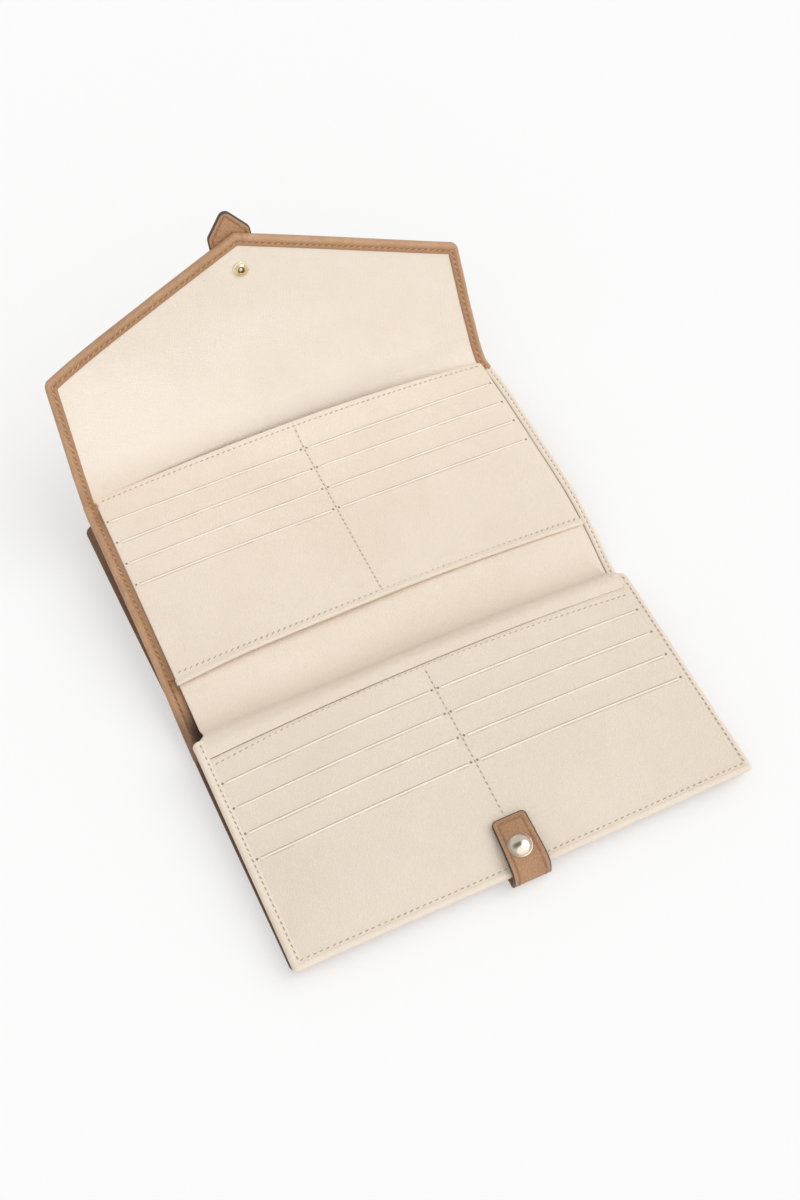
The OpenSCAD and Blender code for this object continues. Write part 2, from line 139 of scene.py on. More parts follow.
def spline(x, knots, values):
    """A cubic between the knots, with slopes from each knot's neighbours and straight past the ends."""
    k, v = np.asarray(knots, float), np.asarray(values, float)
    slope = np.gradient(v, k, axis=0)
    x = np.asarray(x, float)
    held = np.clip(x, k[0], k[-1])
    i = np.clip(np.searchsorted(k, held, side="right") - 1, 0, len(k) - 2)
    w = k[i + 1] - k[i]
    t = (held - k[i]) / w
    past = x - held
    if v.ndim > 1:
        t, w, past = t[..., None], w[..., None], past[..., None]
    end = np.where(past < 0, slope[0], slope[-1])
    return (
        (1 + 2 * t) * (1 - t) ** 2 * v[i]
        + t * (1 - t) ** 2 * w * slope[i]
        + t * t * (3 - 2 * t) * v[i + 1]
        + t * t * (t - 1) * w * slope[i + 1]
        + past * end
    )


def reaches(line):
    """Length along a line up to each of its points."""
    return np.concatenate([[0], np.cumsum(np.linalg.norm(np.diff(line, axis=0), axis=1))])


def spaced(*runs):
    """Numbers from run to run, each run given as its end and its step: (start,), (end, step), ..."""
    out = [np.array([runs[0][0]], float)]
    for (a, *_), (b, step) in zip(runs, runs[1:]):
        out.append(np.linspace(a, b, max(1, round(abs(b - a) / step)) + 1)[1:])
    return np.concatenate(out)


def lifted(sheet, x, y, h):
    """The sheet's point at (x, y), moved along the sheet's normal by h."""
    e = 0.05
    across = sheet(x + e, y) - sheet(x - e, y)
    along = sheet(x, y + e) - sheet(x, y - e)
    n = np.cross(across, along)
    n /= np.linalg.norm(n, axis=-1, keepdims=True)
    return sheet(x, y) + np.asarray(h)[..., None] * n


def axes_at(sheet, x, y, h=0.0):
    """The point over (x, y) and the directions across, along and off the sheet there."""
    e = 0.05
    x, y = np.asarray(x, float), np.asarray(y, float)
    across = sheet(x + e, y) - sheet(x - e, y)
    across /= np.linalg.norm(across, axis=-1, keepdims=True)
    along = sheet(x, y + e) - sheet(x, y - e)
    off = np.cross(across, along)
    off /= np.linalg.norm(off, axis=-1, keepdims=True)
    return sheet(x, y) + np.asarray(h)[..., None] * off, across, np.cross(off, across), off


def grid_faces(rows, ring, closed=True):
    """Quads of a grid of rows, each a ring of points or an open line of them."""
    j, i = np.meshgrid(np.arange(rows - 1), np.arange(ring if closed else ring - 1), indexing="ij")
    here, k = j * ring, (i + 1) % ring
    return np.stack([here + i, here + k, here + ring + k, here + ring + i], -1).reshape(-1, 4)


def volume(points, faces):
    """Signed volume of closed quads, a sixth of the sum of a . (b x c) over their triangles."""
    a, b, c, d = (points[faces[:, k]] for k in range(4))
    return (a * (np.cross(b, c) + np.cross(c, d))).sum() / 6


def shell(points, place):
    """A closed grid of points, rows by ring, with the place of each on its sheet, facing outwards."""
    rows, ring = points.shape[:2]
    faces = grid_faces(rows, ring)
    flat = points.reshape(-1, 3)
    if volume(flat - flat.mean(0), faces) < 0:
        faces = faces[:, ::-1]
    return flat, faces, place.reshape(-1, 3)


def with_ends(rings):
    """Rings with one more at each end, shrunk to its middle."""
    first, last = (r.mean(1, keepdims=True) + 0 * r for r in (rings[:1], rings[-1:]))
    return np.concatenate([first, rings, last])


def corner_cut(d, r):
    """How far a round corner of radius r draws a side in, at the distance d from the end."""
    near = np.clip(1 - d / r, 0, 1)
    return r * (1 - np.sqrt(1 - near**2))


def straight(left, right):
    """Sides of a leaf that keep the same x all along."""
    return lambda y: (left + 0 * y, right + 0 * y)


def slab(sheet, rows, columns, sides, top, bottom, relief=None, ends=("round", "round"), edge=5):
    """A leaf between the heights top and bottom, with round edges.

    Ring: columns across the top, a half circle at the right, the same columns back across the
    underside and a half circle at the left. Rows: a half circle's worth of rising thickness at a
    round end, or a plain step at a flat one. sides(y) gives the x of both edges, and relief(x, y)
    is added to the top.
    """
    half = (top - bottom) / 2
    theta = np.linspace(0, np.pi / 2, edge + 1)[:-1]
    inner = rows[(rows > rows[0] + half) & (rows < rows[-1] - half)]
    rising, span = half * (1 - np.cos(theta)), np.sin(theta)
    plain = np.zeros(2), np.array([0.0, 1.0])
    first, last = ((rising, span) if end == "round" else plain for end in ends)
    y = np.concatenate([rows[0] + first[0], inner, rows[-1] - last[0][::-1]])[:, None]
    full = np.concatenate([first[1], np.ones(len(inner)), last[1][::-1]])[:, None]
    phi = np.linspace(0, np.pi, edge + 2)[1:-1]
    back = columns[::-1]
    u = np.concatenate([columns, np.ones(edge), back, -np.ones(edge)])
    out = np.concatenate([0 * columns, np.sin(phi), 0 * back, -np.sin(phi)])
    up = np.concatenate([0 * columns + 1, np.cos(phi), 0 * back - 1, -np.cos(phi)])
    left, right = sides(y)
    r = np.minimum(half * full, (right - left) / 2)
    x = (left + right) / 2 + u * ((right - left) / 2 - r) + out * r
    h = (top + bottom) / 2 + up * half * full
    y = y + 0 * x
    if relief is not None:
        h = h + np.maximum(up, 0) * full * relief(x, y)
    return shell(lifted(sheet, x, y, h), np.stack([x, y, h], -1))


# Steps in which a corner of an outline is turned.
ARC = 6


def outline(corners, radii, inset, step=3.0):
    """An open line through the corners, set in to its left side by inset.

    A corner of radius r keeps its arc's centre while inset < r, with radius r - inset, and past
    that it is the mitre point, so lines of different inset have the same number of points.
    """
    p = np.asarray(corners, float)
    d = np.diff(p, axis=0)
    size = np.linalg.norm(d, axis=1)
    d /= size[:, None]
    side = np.stack([-d[:, 1], d[:, 0]], 1)
    ends = [p[0] + side[0] * inset]
    for i in range(1, len(p) - 1):
        mitre = (side[i - 1] + side[i]) / (1 + side[i - 1] @ side[i])
        r = max(radii[i], 1e-6)
        sign = 1.0 if (d[i - 1][0] * d[i][1] - d[i - 1][1] * d[i][0]) > 0 else -1.0
        centre = p[i] + mitre * r * sign
        t = np.linspace(0, 1, ARC + 1)[:, None]
        n = side[i - 1] * (1 - t) + side[i] * t
        n /= np.linalg.norm(n, axis=1, keepdims=True)
        if inset * sign < r:
            arc = centre - n * sign * (r - inset * sign)
        else:
            arc = np.repeat((p[i] + mitre * inset)[None], ARC + 1, 0)
        ends.append(arc)
    ends.append(p[-1] + side[-1] * inset)
    line = []
    for i in range(len(p) - 1):
        a = ends[i] if i == 0 else ends[i][-1]
        b = ends[i + 1] if i == len(p) - 2 else ends[i + 1][0]
        n = max(2, round(size[i] / step))
        line.append(a + (b - a) * np.linspace(0, 1, n + 1)[:, None][: n + (i == len(p) - 2)])
        if i < len(p) - 2:
            line.append(ends[i + 1][:-1])
    return np.concatenate(line)


def right_half(corners, radii, step=1.0):
    """The points right of the middle of an outline that is the same on both sides."""
    line = outline(corners, radii, 0, step)
    return line[line[:, 0] >= 0]


def edging(sheet, corners, radii, profile, step=3.0, rounded=(0, 0)):
    """A profile carried along an outline on the sheet.

    The profile is a ring of (inset, height) pairs: each pair runs along the outline at its own
    inset, lifted off the sheet by its own height. Over the last r of a rounded end the ring
    shrinks to its middle with the square root of 1 - (1 - d/r)^2; a flat end closes on its middle.
    """
    lines = np.stack([outline(corners, radii, d, step) for d, _ in profile], 1)
    reach = reaches(lines[:, 0])
    at, size = reach, np.ones(len(reach))
    theta = np.linspace(0, np.pi / 2, 7)
    if rounded[0]:
        keep = at > rounded[0] + 0.05
        at = np.concatenate([rounded[0] * (1 - np.cos(theta)), at[keep]])
        size = np.concatenate([np.sin(theta), size[keep]])
    if rounded[1]:
        keep = at < reach[-1] - rounded[1] - 0.05
        at = np.concatenate([at[keep], reach[-1] - rounded[1] * (1 - np.cos(theta[::-1]))])
        size = np.concatenate([size[keep], np.sin(theta[::-1])])
    i = np.interp(at, reach, np.arange(len(reach)))
    low = np.minimum(i.astype(int), len(reach) - 2)
    part = (i - low)[:, None, None]
    lines = lines[low] * (1 - part) + lines[low + 1] * part
    h = np.broadcast_to(np.array([p[1] for p in profile], float), lines.shape[:2])
    middle, level = lines.mean(1, keepdims=True), h.mean(1, keepdims=True)
    lines = middle + (lines - middle) * size[:, None, None]
    h = level + (h - level) * size[:, None]
    points = lifted(sheet, lines[..., 0], lines[..., 1], h)
    place = np.concatenate([lines, h[..., None]], -1)
    place[..., 0] = np.array([p[0] for p in profile])
    place[..., 1] = at[:, None]
    place = np.concatenate([place[:1], place, place[-1:]])
    return shell(with_ends(points), place)


def along(line, pitch):
    """Evenly spaced points of a line, as near to the pitch as its length allows, and directions."""
    s = reaches(line)
    n = max(1, round(s[-1] / pitch))
    at = (np.arange(n) + 0.5) * s[-1] / n
    point, ahead, behind = (
        np.stack([np.interp(at + step, s, line[:, k]) for k in range(2)], 1) for step in (0.0, 0.3, -0.3)
    )
    way = ahead - behind
    return point, way / np.linalg.norm(way, axis=1, keepdims=True)


def sewn(sheet, line, h=0.0, pitch=2.6, size=1.75, radius=0.24, slant=0.0, seed=1):
    """Stitches along a line on the sheet.

    Each is a six-sided spindle whose radius follows the square root of 1 - a^4 from end to end,
    and whose ends dip into the leather by a square law. Small seeded turns keep them uneven.
    """
    rng = np.random.default_rng(seed)
    point, way = along(np.asarray(line, float), pitch)
    n = len(point)
    turn = slant + rng.normal(0, 0.06, n)
    c, s = np.cos(turn), np.sin(turn)
    way = np.stack([way[:, 0] * c - way[:, 1] * s, way[:, 0] * s + way[:, 1] * c], 1)
    origin, across, ahead, off = axes_at(sheet, point[:, 0], point[:, 1], h + 0 * point[:, 0])
    t = across * way[:, :1] + ahead * way[:, 1:]
    b = np.cross(off, t)
    a = np.array([-1, -0.8, -0.35, 0.35, 0.8, 1.0])
    phi = np.arange(6) * np.pi / 3
    r = radius * np.sqrt(np.maximum(1 - a**4, 0))
    half = size / 2 * (1 + rng.normal(0, 0.05, n))
    a_, r_ = a[None, :, None, None], r[None, :, None, None]
    cos, sin = np.cos(phi)[None, None, :, None], np.sin(phi)[None, None, :, None]
    body = (
        origin[:, None, None]
        + half[:, None, None, None] * a_ * t[:, None, None]
        + r_ * cos * b[:, None, None]
        + (r_ * sin + radius * (0.35 - 0.9 * a_**2)) * off[:, None, None]
    )
    ring = grid_faces(len(a), 6)
    faces = (ring[None] + (np.arange(n) * len(a) * 6)[:, None, None]).reshape(-1, 4)
    points = body.reshape(-1, 3)
    if volume(points[: len(a) * 6] - points[: len(a) * 6].mean(0), ring) < 0:
        faces = faces[:, ::-1]
    place = np.broadcast_to(a_, body.shape[:3] + (1,)) * np.array([1.0, 0, 0])
    return points, faces, place.reshape(-1, 3)


def turned(profile, origin, across, ahead, off, sides=40):
    """A profile of (radius, height) pairs turned about the axis off through origin."""
    p = np.asarray(profile, float)
    phi = np.linspace(0, 2 * np.pi, sides, endpoint=False)
    points = (
        origin
        + p[:, None, :1] * (np.cos(phi)[None, :, None] * across + np.sin(phi)[None, :, None] * ahead)
        + p[:, None, 1:] * off
    )
    place = np.stack(np.broadcast_arrays(p[:, :1], np.cos(phi)[None], p[:, 1:]), -1)
    return shell(points, place)


def merged(parts):
    """Parts as one, with points that lie on each other made one and the faces that are left."""
    start = np.cumsum([0] + [len(p[0]) for p in parts])
    points = np.concatenate([p[0] for p in parts])
    faces = np.concatenate([p[1] + s for p, s in zip(parts, start)])
    place = np.concatenate([p[2] for p in parts])
    key = np.round(points / 1e-3).astype(np.int64)
    part = np.concatenate([np.full(len(p[0]), i) for i, p in enumerate(parts)])
    _, first, back = np.unique(np.c_[part, key], axis=0, return_index=True, return_inverse=True)
    faces = back.reshape(-1)[faces]
    same = faces == np.roll(faces, -1, axis=1)
    count = same.sum(1)
    crossed = (faces[:, 0] == faces[:, 2]) | (faces[:, 1] == faces[:, 3])
    three = (count == 1) & ~crossed
    quads = faces[(count == 0) & ~crossed]
    triangles = faces[three][~same[three]].reshape(-1, 3)
    return points[first], quads.tolist() + triangles.tolist(), place[first]


def piece(name, parts, finish, sharp=40):
    """A mesh object of the parts, in metres, with their places kept as the attribute "place"."""
    points, faces, place = merged(parts if isinstance(parts, list) else [parts])
    mesh = bpy.data.meshes.new(name)
    mesh.from_pydata((points * MM).tolist(), [], faces)
    mesh.update()
    places = mesh.attributes.new("place", "FLOAT_VECTOR", "POINT")
    places.data.foreach_set("vector", place.astype(np.float32).ravel())
    mesh.shade_smooth()
    mesh.set_sharp_from_angle(angle=math.radians(sharp))
    mesh.materials.append(finish)
    o = bpy.data.objects.new(name, mesh)
    bpy.context.scene.collection.objects.link(o)
    return o


# The wallet's own surfaces

# Origin, across, along and off of each card page: the origin is the middle of its first slits.
LOWER = np.array([[0, -56.86 + SHIFT, 15.86], [1, 0, 0], [0, 0.99715, 0.07550], [0, -0.07550, 0.99715]])
UPPER = np.array([
    [1.81, 83.33 + SHIFT, 23.72],
    [0.99963, 0.00189, -0.02696],
    [0.00065, 0.99558, 0.09390],
    [0.02702, -0.09388, 0.99522],
])
# Where the slits begin and end, from the middle, and the distance from one row to the next.
SLIT_IN, SLIT_OUT, SLIT_PITCH = 2.65, 90.65, 12.0


def in_frame(axes, x, y, z):
    return axes[0] + x[..., None] * axes[1] + y[..., None] * axes[2] + z[..., None] * axes[3]


def lower_page(x, y):
    """The lower page arches across: z falls with the square of x, most at its fold end."""
    arch = spline(y, (-90, -84, -66, -45, -20, 0, 12, 20), (-1.6, -1.0, 1.6, 3.2, 3.9, 4.2, 5.0, 4.7))
    wave = 0.25 * np.sin(x / 21 + y / 37) * np.sin(y / 19 - 0.6)
    return in_frame(LOWER, x, y, arch * (1 - (x / SLIT_OUT) ** 2) + wave)


def upper_page(x, y):
    """The upper page arches a little, more at its hem, and its mouth gapes at the top."""
    rise = bpy.context.scene.wallet_sizes.mouth_rise / MM
    arch = spline(y, (-92, -84, -70, -40, -12, 3, 8, 13.6), (3.2, 3.0, 2.3, 1.7, 1.7, 1.9, 3.2, rise))
    wave = 0.2 * np.sin(x / 26 - y / 31) * np.sin(y / 23 + 0.4)
    return in_frame(UPPER, x, y, arch * (1 - (x / SLIT_OUT) ** 2) + wave)


# Stations of the cover from its front edge to past the flap's point: left edge, middle and right
# edge, each as (Y, Z) of the lining's face.
STATIONS = np.array([
    [[-139.3, 3.8], [-139.3, 3.8], [-139.3, 3.8]],
    [[-90, 3.8], [-90, 3.8], [-90, 3.8]],
    [[-46, 3.8], [-46, 3.8], [-46, 3.8]],
    [[-36.8, 4.6], [-36.8, 4.2], [-36.8, 4.0]],
    [[-22, 8.4], [-22, 6.9], [-22, 4.8]],
    [[-8, 12.2], [-8, 9.6], [-8, 7.8]],
    [[13, 16.6], [13, 12.2], [13, 12.6]],
    [[40, 20.6], [40, 15.4], [40, 16.6]],
    [[65, 23.0], [65, 17.8], [65, 18.7]],
    [[82, 24.2], [82, 19.0], [82, 20.2]],
    [[91, 24.4], [92.5, 20.0], [93, 20.4]],
    [[94.6, 26.8], [97, 22.0], [98.2, 21.4]],
    [[95.6, 31.5], [99.6, 26.6], [102.3, 25.4]],
    [[97.8, 38.5], [102.5, 33.4], [105.6, 32.2]],
    [[104.8, 47.5], [107.5, 45.0], [109.7, 44.4]],
    [[115.5, 59.2], [114.2, 59.5], [113.3, 61.4]],
    [[126.7, 73.3], [121.4, 74.4], [116.5, 77.5]],
    [[132.4, 92.0], [126.4, 93.2], [120.7, 96.4]],
    [[137.0, 111.5], [130.3, 113.4], [124.0, 117.2]],
    [[140.0, 124.0], [133.0, 126.0], [126.7, 130.0]],
]) + (SHIFT, 0)
LEFT_AT, MIDDLE_AT, RIGHT_AT = STATIONS[:, 0], STATIONS[:, 1], STATIONS[:, 2]
REACH = reaches(MIDDLE_AT)
FRONT_FOLD, SPINE_FOLD, BRIDGE_FOLD = REACH[3], REACH[5], REACH[11]
SHOULDER, POINT = REACH[16], REACH[18] - 1.2
# Where the strap's middle stands beside the flap's, and half the strap's width.
STRAP_X, STRAP_HALF = -1.8, 9.25
# Half widths of the cover, of the flap's foot and of its shoulders, and where that foot is.
HALF_W, BAND_W, SHOULDER_W = 98.0, 97.8, 95.2
BAND_FOOT = BRIDGE_FOLD + 17
# The flap's outline, from its right foot round its point.
BAND = [
    (BAND_W, BAND_FOOT), (SHOULDER_W, SHOULDER), (0, POINT), (-SHOULDER_W, SHOULDER), (-BAND_W, BAND_FOOT),
]
BAND_RADII = (0, 3.6, 2.0, 3.6, 0)
RIM = right_half(BAND, BAND_RADII, 2.0)
# Inset of the stitches in the binding and the tan edges, and in the cream edges.
SEAM, CREAM_SEAM = 3.05, 2.1
# Where the binding's two halves meet, measured along it from its right foot.
MITRE = math.dist(BAND[0], BAND[1]) + math.dist(BAND[1], BAND[2]) - 3.8


def cover(x, s):
    """The cover's inner face, at x across and s along it.

    Up to the back cover it is the middle line, with both sides curling to their own lines in the
    last fifth of the width. Past the back cover it is ruled straight from side to side. Its right
    side stands wider beside the spine.
    """
    u = np.clip(x / HALF_W, -1.1, 1.1)
    curl = smooth(0.80, 1.0, np.abs(u))
    flat = (1 - curl) * (1 - smooth(REACH[9], REACH[13], s))
    left, middle, right = (spline(s, REACH, line) for line in (LEFT_AT, MIDDLE_AT, RIGHT_AT))
    ruled = left * ((1 - u) / 2)[..., None] + right * ((1 + u) / 2)[..., None]
    yz = middle * flat[..., None] + ruled * (1 - flat)[..., None]
    shift = 0.9 * smooth(FRONT_FOLD, REACH[6], s)
    knots = REACH[[3, 4, 5, 6, 7, 9, 10, 11]]
    wider = spline(np.clip(s, knots[0], knots[-1]), knots, (0, 0.9, 1.5, 2.1, 1.7, 1.2, 0.6, 0))
    wider = wider * smooth(0.6, 1, u)
    return np.concatenate([(x + shift + wider)[..., None], yz], -1)


def cover_sides(s):
    """Both edges of the cover: its full width up to the flap, and then the flap's outline."""
    knots = (0, FRONT_FOLD, SPINE_FOLD, REACH[12], BAND_FOOT)
    w = np.interp(s, knots, (97.2, 97.5, HALF_W, HALF_W, BAND_W))
    w = np.where(s > BAND_FOOT, np.interp(s, RIM[:, 1], RIM[:, 0]), w)
    w = w - corner_cut(s - 2.0, 2.2)
    return -w, w


# Inner sheet, from the lower page's roll to the upper page's foot: rows of left edge, middle and
# right edge, each as (Y, Z).
SAG = np.array([
    [[-44.4, 16.5], [-44.4, 21.5], [-44.4, 15.7]],
    [[-39.5, 17.0], [-39.5, 21.3], [-39.5, 16.0]],
    [[-35.0, 16.2], [-35.0, 18.6], [-35.2, 14.6]],
    [[-31.5, 14.6], [-31.5, 15.0], [-32.0, 12.0]],
    [[-28.0, 12.8], [-28.2, 11.9], [-29.0, 8.9]],
    [[-23.0, 12.0], [-23.5, 10.4], [-25.0, 7.6]],
    [[-16.0, 12.8], [-16.5, 10.9], [-18.0, 8.7]],
    [[-9.0, 14.6], [-9.5, 13.2], [-10.0, 10.4]],
    [[-2.0, 16.4], [-2.5, 16.0], [-2.5, 11.8]],
    [[4.0, 17.0], [4.0, 17.0], [4.0, 12.8]],
]) + (SHIFT, 0)
SAG_REACH = reaches(SAG[:, 1])


def inner_sheet(x, s):
    """The sheet between the pages: its middle line, left line and right line joined by parabolas."""
    u = np.clip(x / 97, -1.05, 1.05)
    left, middle, right = (spline(s, SAG_REACH, SAG[:, k]) for k in range(3))
    side = np.where((u < 0)[..., None], left, right)
    yz = middle + (side - middle) * (u * u)[..., None]
    crease = 0.35 * np.sin(x / 17 + 0.3 * np.sin(s / 5)) * smooth(8, 16, s) * (1 - smooth(30, 40, s))
    yz[..., 1] += crease
    return np.concatenate([x[..., None], yz], -1)


def sheet_sides(s):
    left = spline(s, (0, 7, 11, 13.5, 22, 50), (-97.0, -96.2, -93.4, -91.6, -91.2, -91.2))
    right = spline(s, (0, 6, 11, 18, 50), (97.0, 96.6, 94.0, 92.5, 94.6))
    return left, right


def lower_rim(x, y):
    """The lower page's surface, going over to the inner sheet's between 9 and 15 mm past its slits."""
    w = smooth(9, 15, y)[..., None]
    return lower_page(x, y) * (1 - w) + inner_sheet(x, np.asarray(y, float) - 12.3) * w


def fold(name, before, after, askew=0.0):
    """Two points either side of a fold, as (Y, Z) steps in millimetres from its hinge.

    A fold set askew bends later at the left side of the wallet and earlier at the right.
    """
    y, z = HINGE[name]
    reach = math.dist(before, after)
    ends = ((0, before), (askew * reach, after))
    return tuple((x * MM, (y + end[0]) * MM, (z + end[1]) * MM) for x, end in ends)


SPINE_BEND = fold("spine_fold", (-6, -1), (6, 1))
FLAP_BEND = fold("flap_fold", (-3, -7.5), (2, 7.5))
BRIDGE_BEND = fold("flap_bridge_fold", (0, 5), (0, 16), 0.04)
ROLL_BEND = fold("front_fold", (-1, 12), (7.5, 12))

# Length of the rear pocket's panel from its fold to its mouth.
MOUTH = 106.6 + SHIFT - HINGE["rear_pocket_fold"][0]


def rear_pocket(x, s):
    """The rear pocket's panel, lying on the table and lifting slightly towards its mouth's edge."""
    z = 1.8 + 0.25 * np.sin(x / 30) * smooth(30, 100, s)
    return np.stack([x + 0.4, HINGE["rear_pocket_fold"][0] + s, z], -1)


# Line of the tab in (Y, Z): over the page, round the front edge and back under the front cover.
TAB_LINE = np.array([
    [-119.9, 13.7], [-126.5, 13.1], [-133.0, 12.3], [-138.4, 11.3], [-141.3, 9.4], [-141.9, 6.5],
    [-141.7, 4.2], [-140.8, 2.6], [-138.5, 1.75], [-134.0, 1.55], [-128.0, 1.55], [-122.5, 1.55],
]) + (SHIFT, 0)
TAB_REACH = reaches(TAB_LINE)
# Middle of the dark reflection painted on the tab's cap, as (X, Y).
DOME_REFLECTION = (-1.3, -133.4 + SHIFT)


def tab(x, s):
    """The tab's underside, drawn slightly askew over the page."""
    yz = spline(s, TAB_REACH, TAB_LINE)
    return np.concatenate([(-x + 0.9 - s / 26)[..., None], yz], -1)


# Finishes


class Value:
    """A number in a finish: sums on it add Math nodes."""

    def __init__(self, finish, socket):
        self.finish, self.socket = finish, socket

    def math(self, operation, *others):
        return self.finish.add("ShaderNodeMath", {"operation": operation}, self, *others)

    def __add__(self, other):
        return self.math("ADD", other)

    def __sub__(self, other):
        return self.math("SUBTRACT", other)

    def __rsub__(self, other):
        return self.finish.add("ShaderNodeMath", {"operation": "SUBTRACT"}, other, self)

    def __mul__(self, other):
        return self.math("MULTIPLY", other)

    def __truediv__(self, other):
        return self.math("DIVIDE", other)

    def __gt__(self, other):
        return self.math("GREATER_THAN", other)

    def __abs__(self):
        return self.math("ABSOLUTE")

    __radd__, __rmul__ = __add__, __mul__

    def least(self, other):
        return self.math("MINIMUM", other)

    def most(self, other):
        return self.math("MAXIMUM", other)

    def step(self, low, high):
        """0 below low, 1 above high and smooth between, or the other way round if low > high."""
        a, b, first, last = (low, high, 0.0, 1.0) if low < high else (high, low, 1.0, 0.0)
        return self.finish.add(
            "ShaderNodeMapRange", {"interpolation_type": "SMOOTHSTEP"}, self, a, b, first, last
        )


class Finish:
    """A material and the nodes in it."""

    def __init__(self, name):
        self.material = bpy.data.materials.new(name)
        self.material.use_nodes = True
        self.tree = self.material.node_tree
        self.tree.nodes.clear()

    def node(self, kind, settings, sockets):
        """A node of a type: its settings are made first, then its sockets' values or links."""
        n = self.tree.nodes.new(kind)
        for key, value in settings.items():
            if key == "stops":
                ramp = n.color_ramp
                while len(ramp.elements) < len(value):
                    ramp.elements.new(0.5)
                for e, (at, c) in zip(ramp.elements, value):
                    e.position, e.color = at, (*c, 1)
            else:
                setattr(n, key, value)
        for key, value in sockets.items():
            if value is None:
                continue
            slot = n.inputs[key]
            if isinstance(value, Value):
                self.tree.links.new(value.socket, slot)
            elif isinstance(value, bpy.types.NodeSocket):
                self.tree.links.new(value, slot)
            elif slot.type == "RGBA" and len(value) == 3:
                slot.default_value = (*value, 1)
            else:
                slot.default_value = value
        return n

    def add(self, kind, settings, *values):
        """A node whose sockets are filled in order; what comes back is its first output."""
        n = self.node(kind, settings, dict(enumerate(values)))
        return Value(self, n.outputs[0])

    def coordinates(self):
        return self.node("ShaderNodeTexCoord", {}, {}).outputs["Object"]

    def place(self):
        """x, y and height on the piece's own sheet, in millimetres."""
        n = self.node("ShaderNodeAttribute", {"attribute_name": "place"}, {})
        s = self.node("ShaderNodeSeparateXYZ", {}, {0: n.outputs["Vector"]})
        return [Value(self, s.outputs[k]) for k in range(3)]

    def noise(self, size, detail=3.0, rough=0.5, stretch=None):
        """Noise with features of about size millimetres."""
        at = self.coordinates()
        if stretch:
            at = self.node("ShaderNodeMapping", {}, {"Vector": at, "Scale": stretch}).outputs[0]
        sockets = {"Vector": at, "Scale": 1000 / size, "Detail": detail, "Roughness": rough}
        return Value(self, self.node("ShaderNodeTexNoise", {}, sockets).outputs["Fac"])

    def cells(self, size):
        """Distance from the walls of cells of about size millimetres."""
        sockets = {"Vector": self.coordinates(), "Scale": 1000 / size}
        n = self.node("ShaderNodeTexVoronoi", {"feature": "DISTANCE_TO_EDGE"}, sockets)
        return Value(self, n.outputs["Distance"])

    def mix(self, factor, a, b):
        return self.node("ShaderNodeMix", {"data_type": "RGBA"}, {0: factor, 6: a, 7: b}).outputs[2]

    def bump(self, height, distance, strength=1.0, normal=None):
        sockets = {"Height": height, "Distance": distance, "Strength": strength, "Normal": normal}
        return self.node("ShaderNodeBump", {}, sockets).outputs["Normal"]

    def done(self, **sockets):
        names = {k.replace("_", " "): v for k, v in sockets.items()}
        s = self.node("ShaderNodeBsdfPrincipled", {}, names)
        self.node("ShaderNodeOutputMaterial", {}, {"Surface": s.outputs[0]})
        return self.material


def tint(name, factor=1.0):
    """One of the wallet's colours, made lighter or darker by a factor."""
    return tuple(v * factor for v in getattr(bpy.context.scene.wallet_colours, name))


def leather(name, light, shade, marks=None, rough=0.5, mottling=0.35, grain=1.0):
    """Fine-grained leather: soft mottling in the colour, a cell grain and pores in the bump."""
    f = Finish(name)
    cloud = f.noise(34, 4, 0.55).step(0.35, 0.72)
    fine = f.noise(1.5, 3, 0.6).step(0.35, 0.7)
    cell = f.cells(1.05).step(0.0, 0.22)
    tone = (cloud * 0.6 + fine * 0.13 * grain + (1 - cell) * 0.14 * grain) * mottling
    base = f.mix(tone, light, shade)
    if marks:
        base = marks(f, base)
    depth = bpy.context.scene.wallet_sizes.grain_depth
    normal = f.bump(f.noise(9, 2, 0.5), depth * 3.0, 0.5)
    normal = f.bump(cell * 0.7 + fine * 0.3, depth * grain, 0.8, normal)
    gloss = f.noise(5, 2, 0.6) * 0.16 + (rough - 0.08)
    return f.done(Base_Color=base, Roughness=gloss, Normal=normal, Specular_IOR_Level=0.35)


def cream(name, marks=None, factor=1.0):
    return leather(name, tint("cream", factor), tint("cream_shade"), marks, rough=0.48)


def tan(name, marks=None, rough=0.5, mottling=0.6, grain=2.2):
    return leather(name, tint("tan"), tint("tan_shade"), marks, rough, mottling, grain)


def stitch_groove_shade(distance):
    """How much painted shade darkens the groove along a row of stitches, by the distance from it."""
    return abs(distance).step(0.75, 0.15)


def stitch_wave(along, pitch):
    """A wave from 0 to 0.4 along a row, with one crest to a stitch."""
    return abs((along * (math.pi / pitch)).math("SINE")) * 0.4


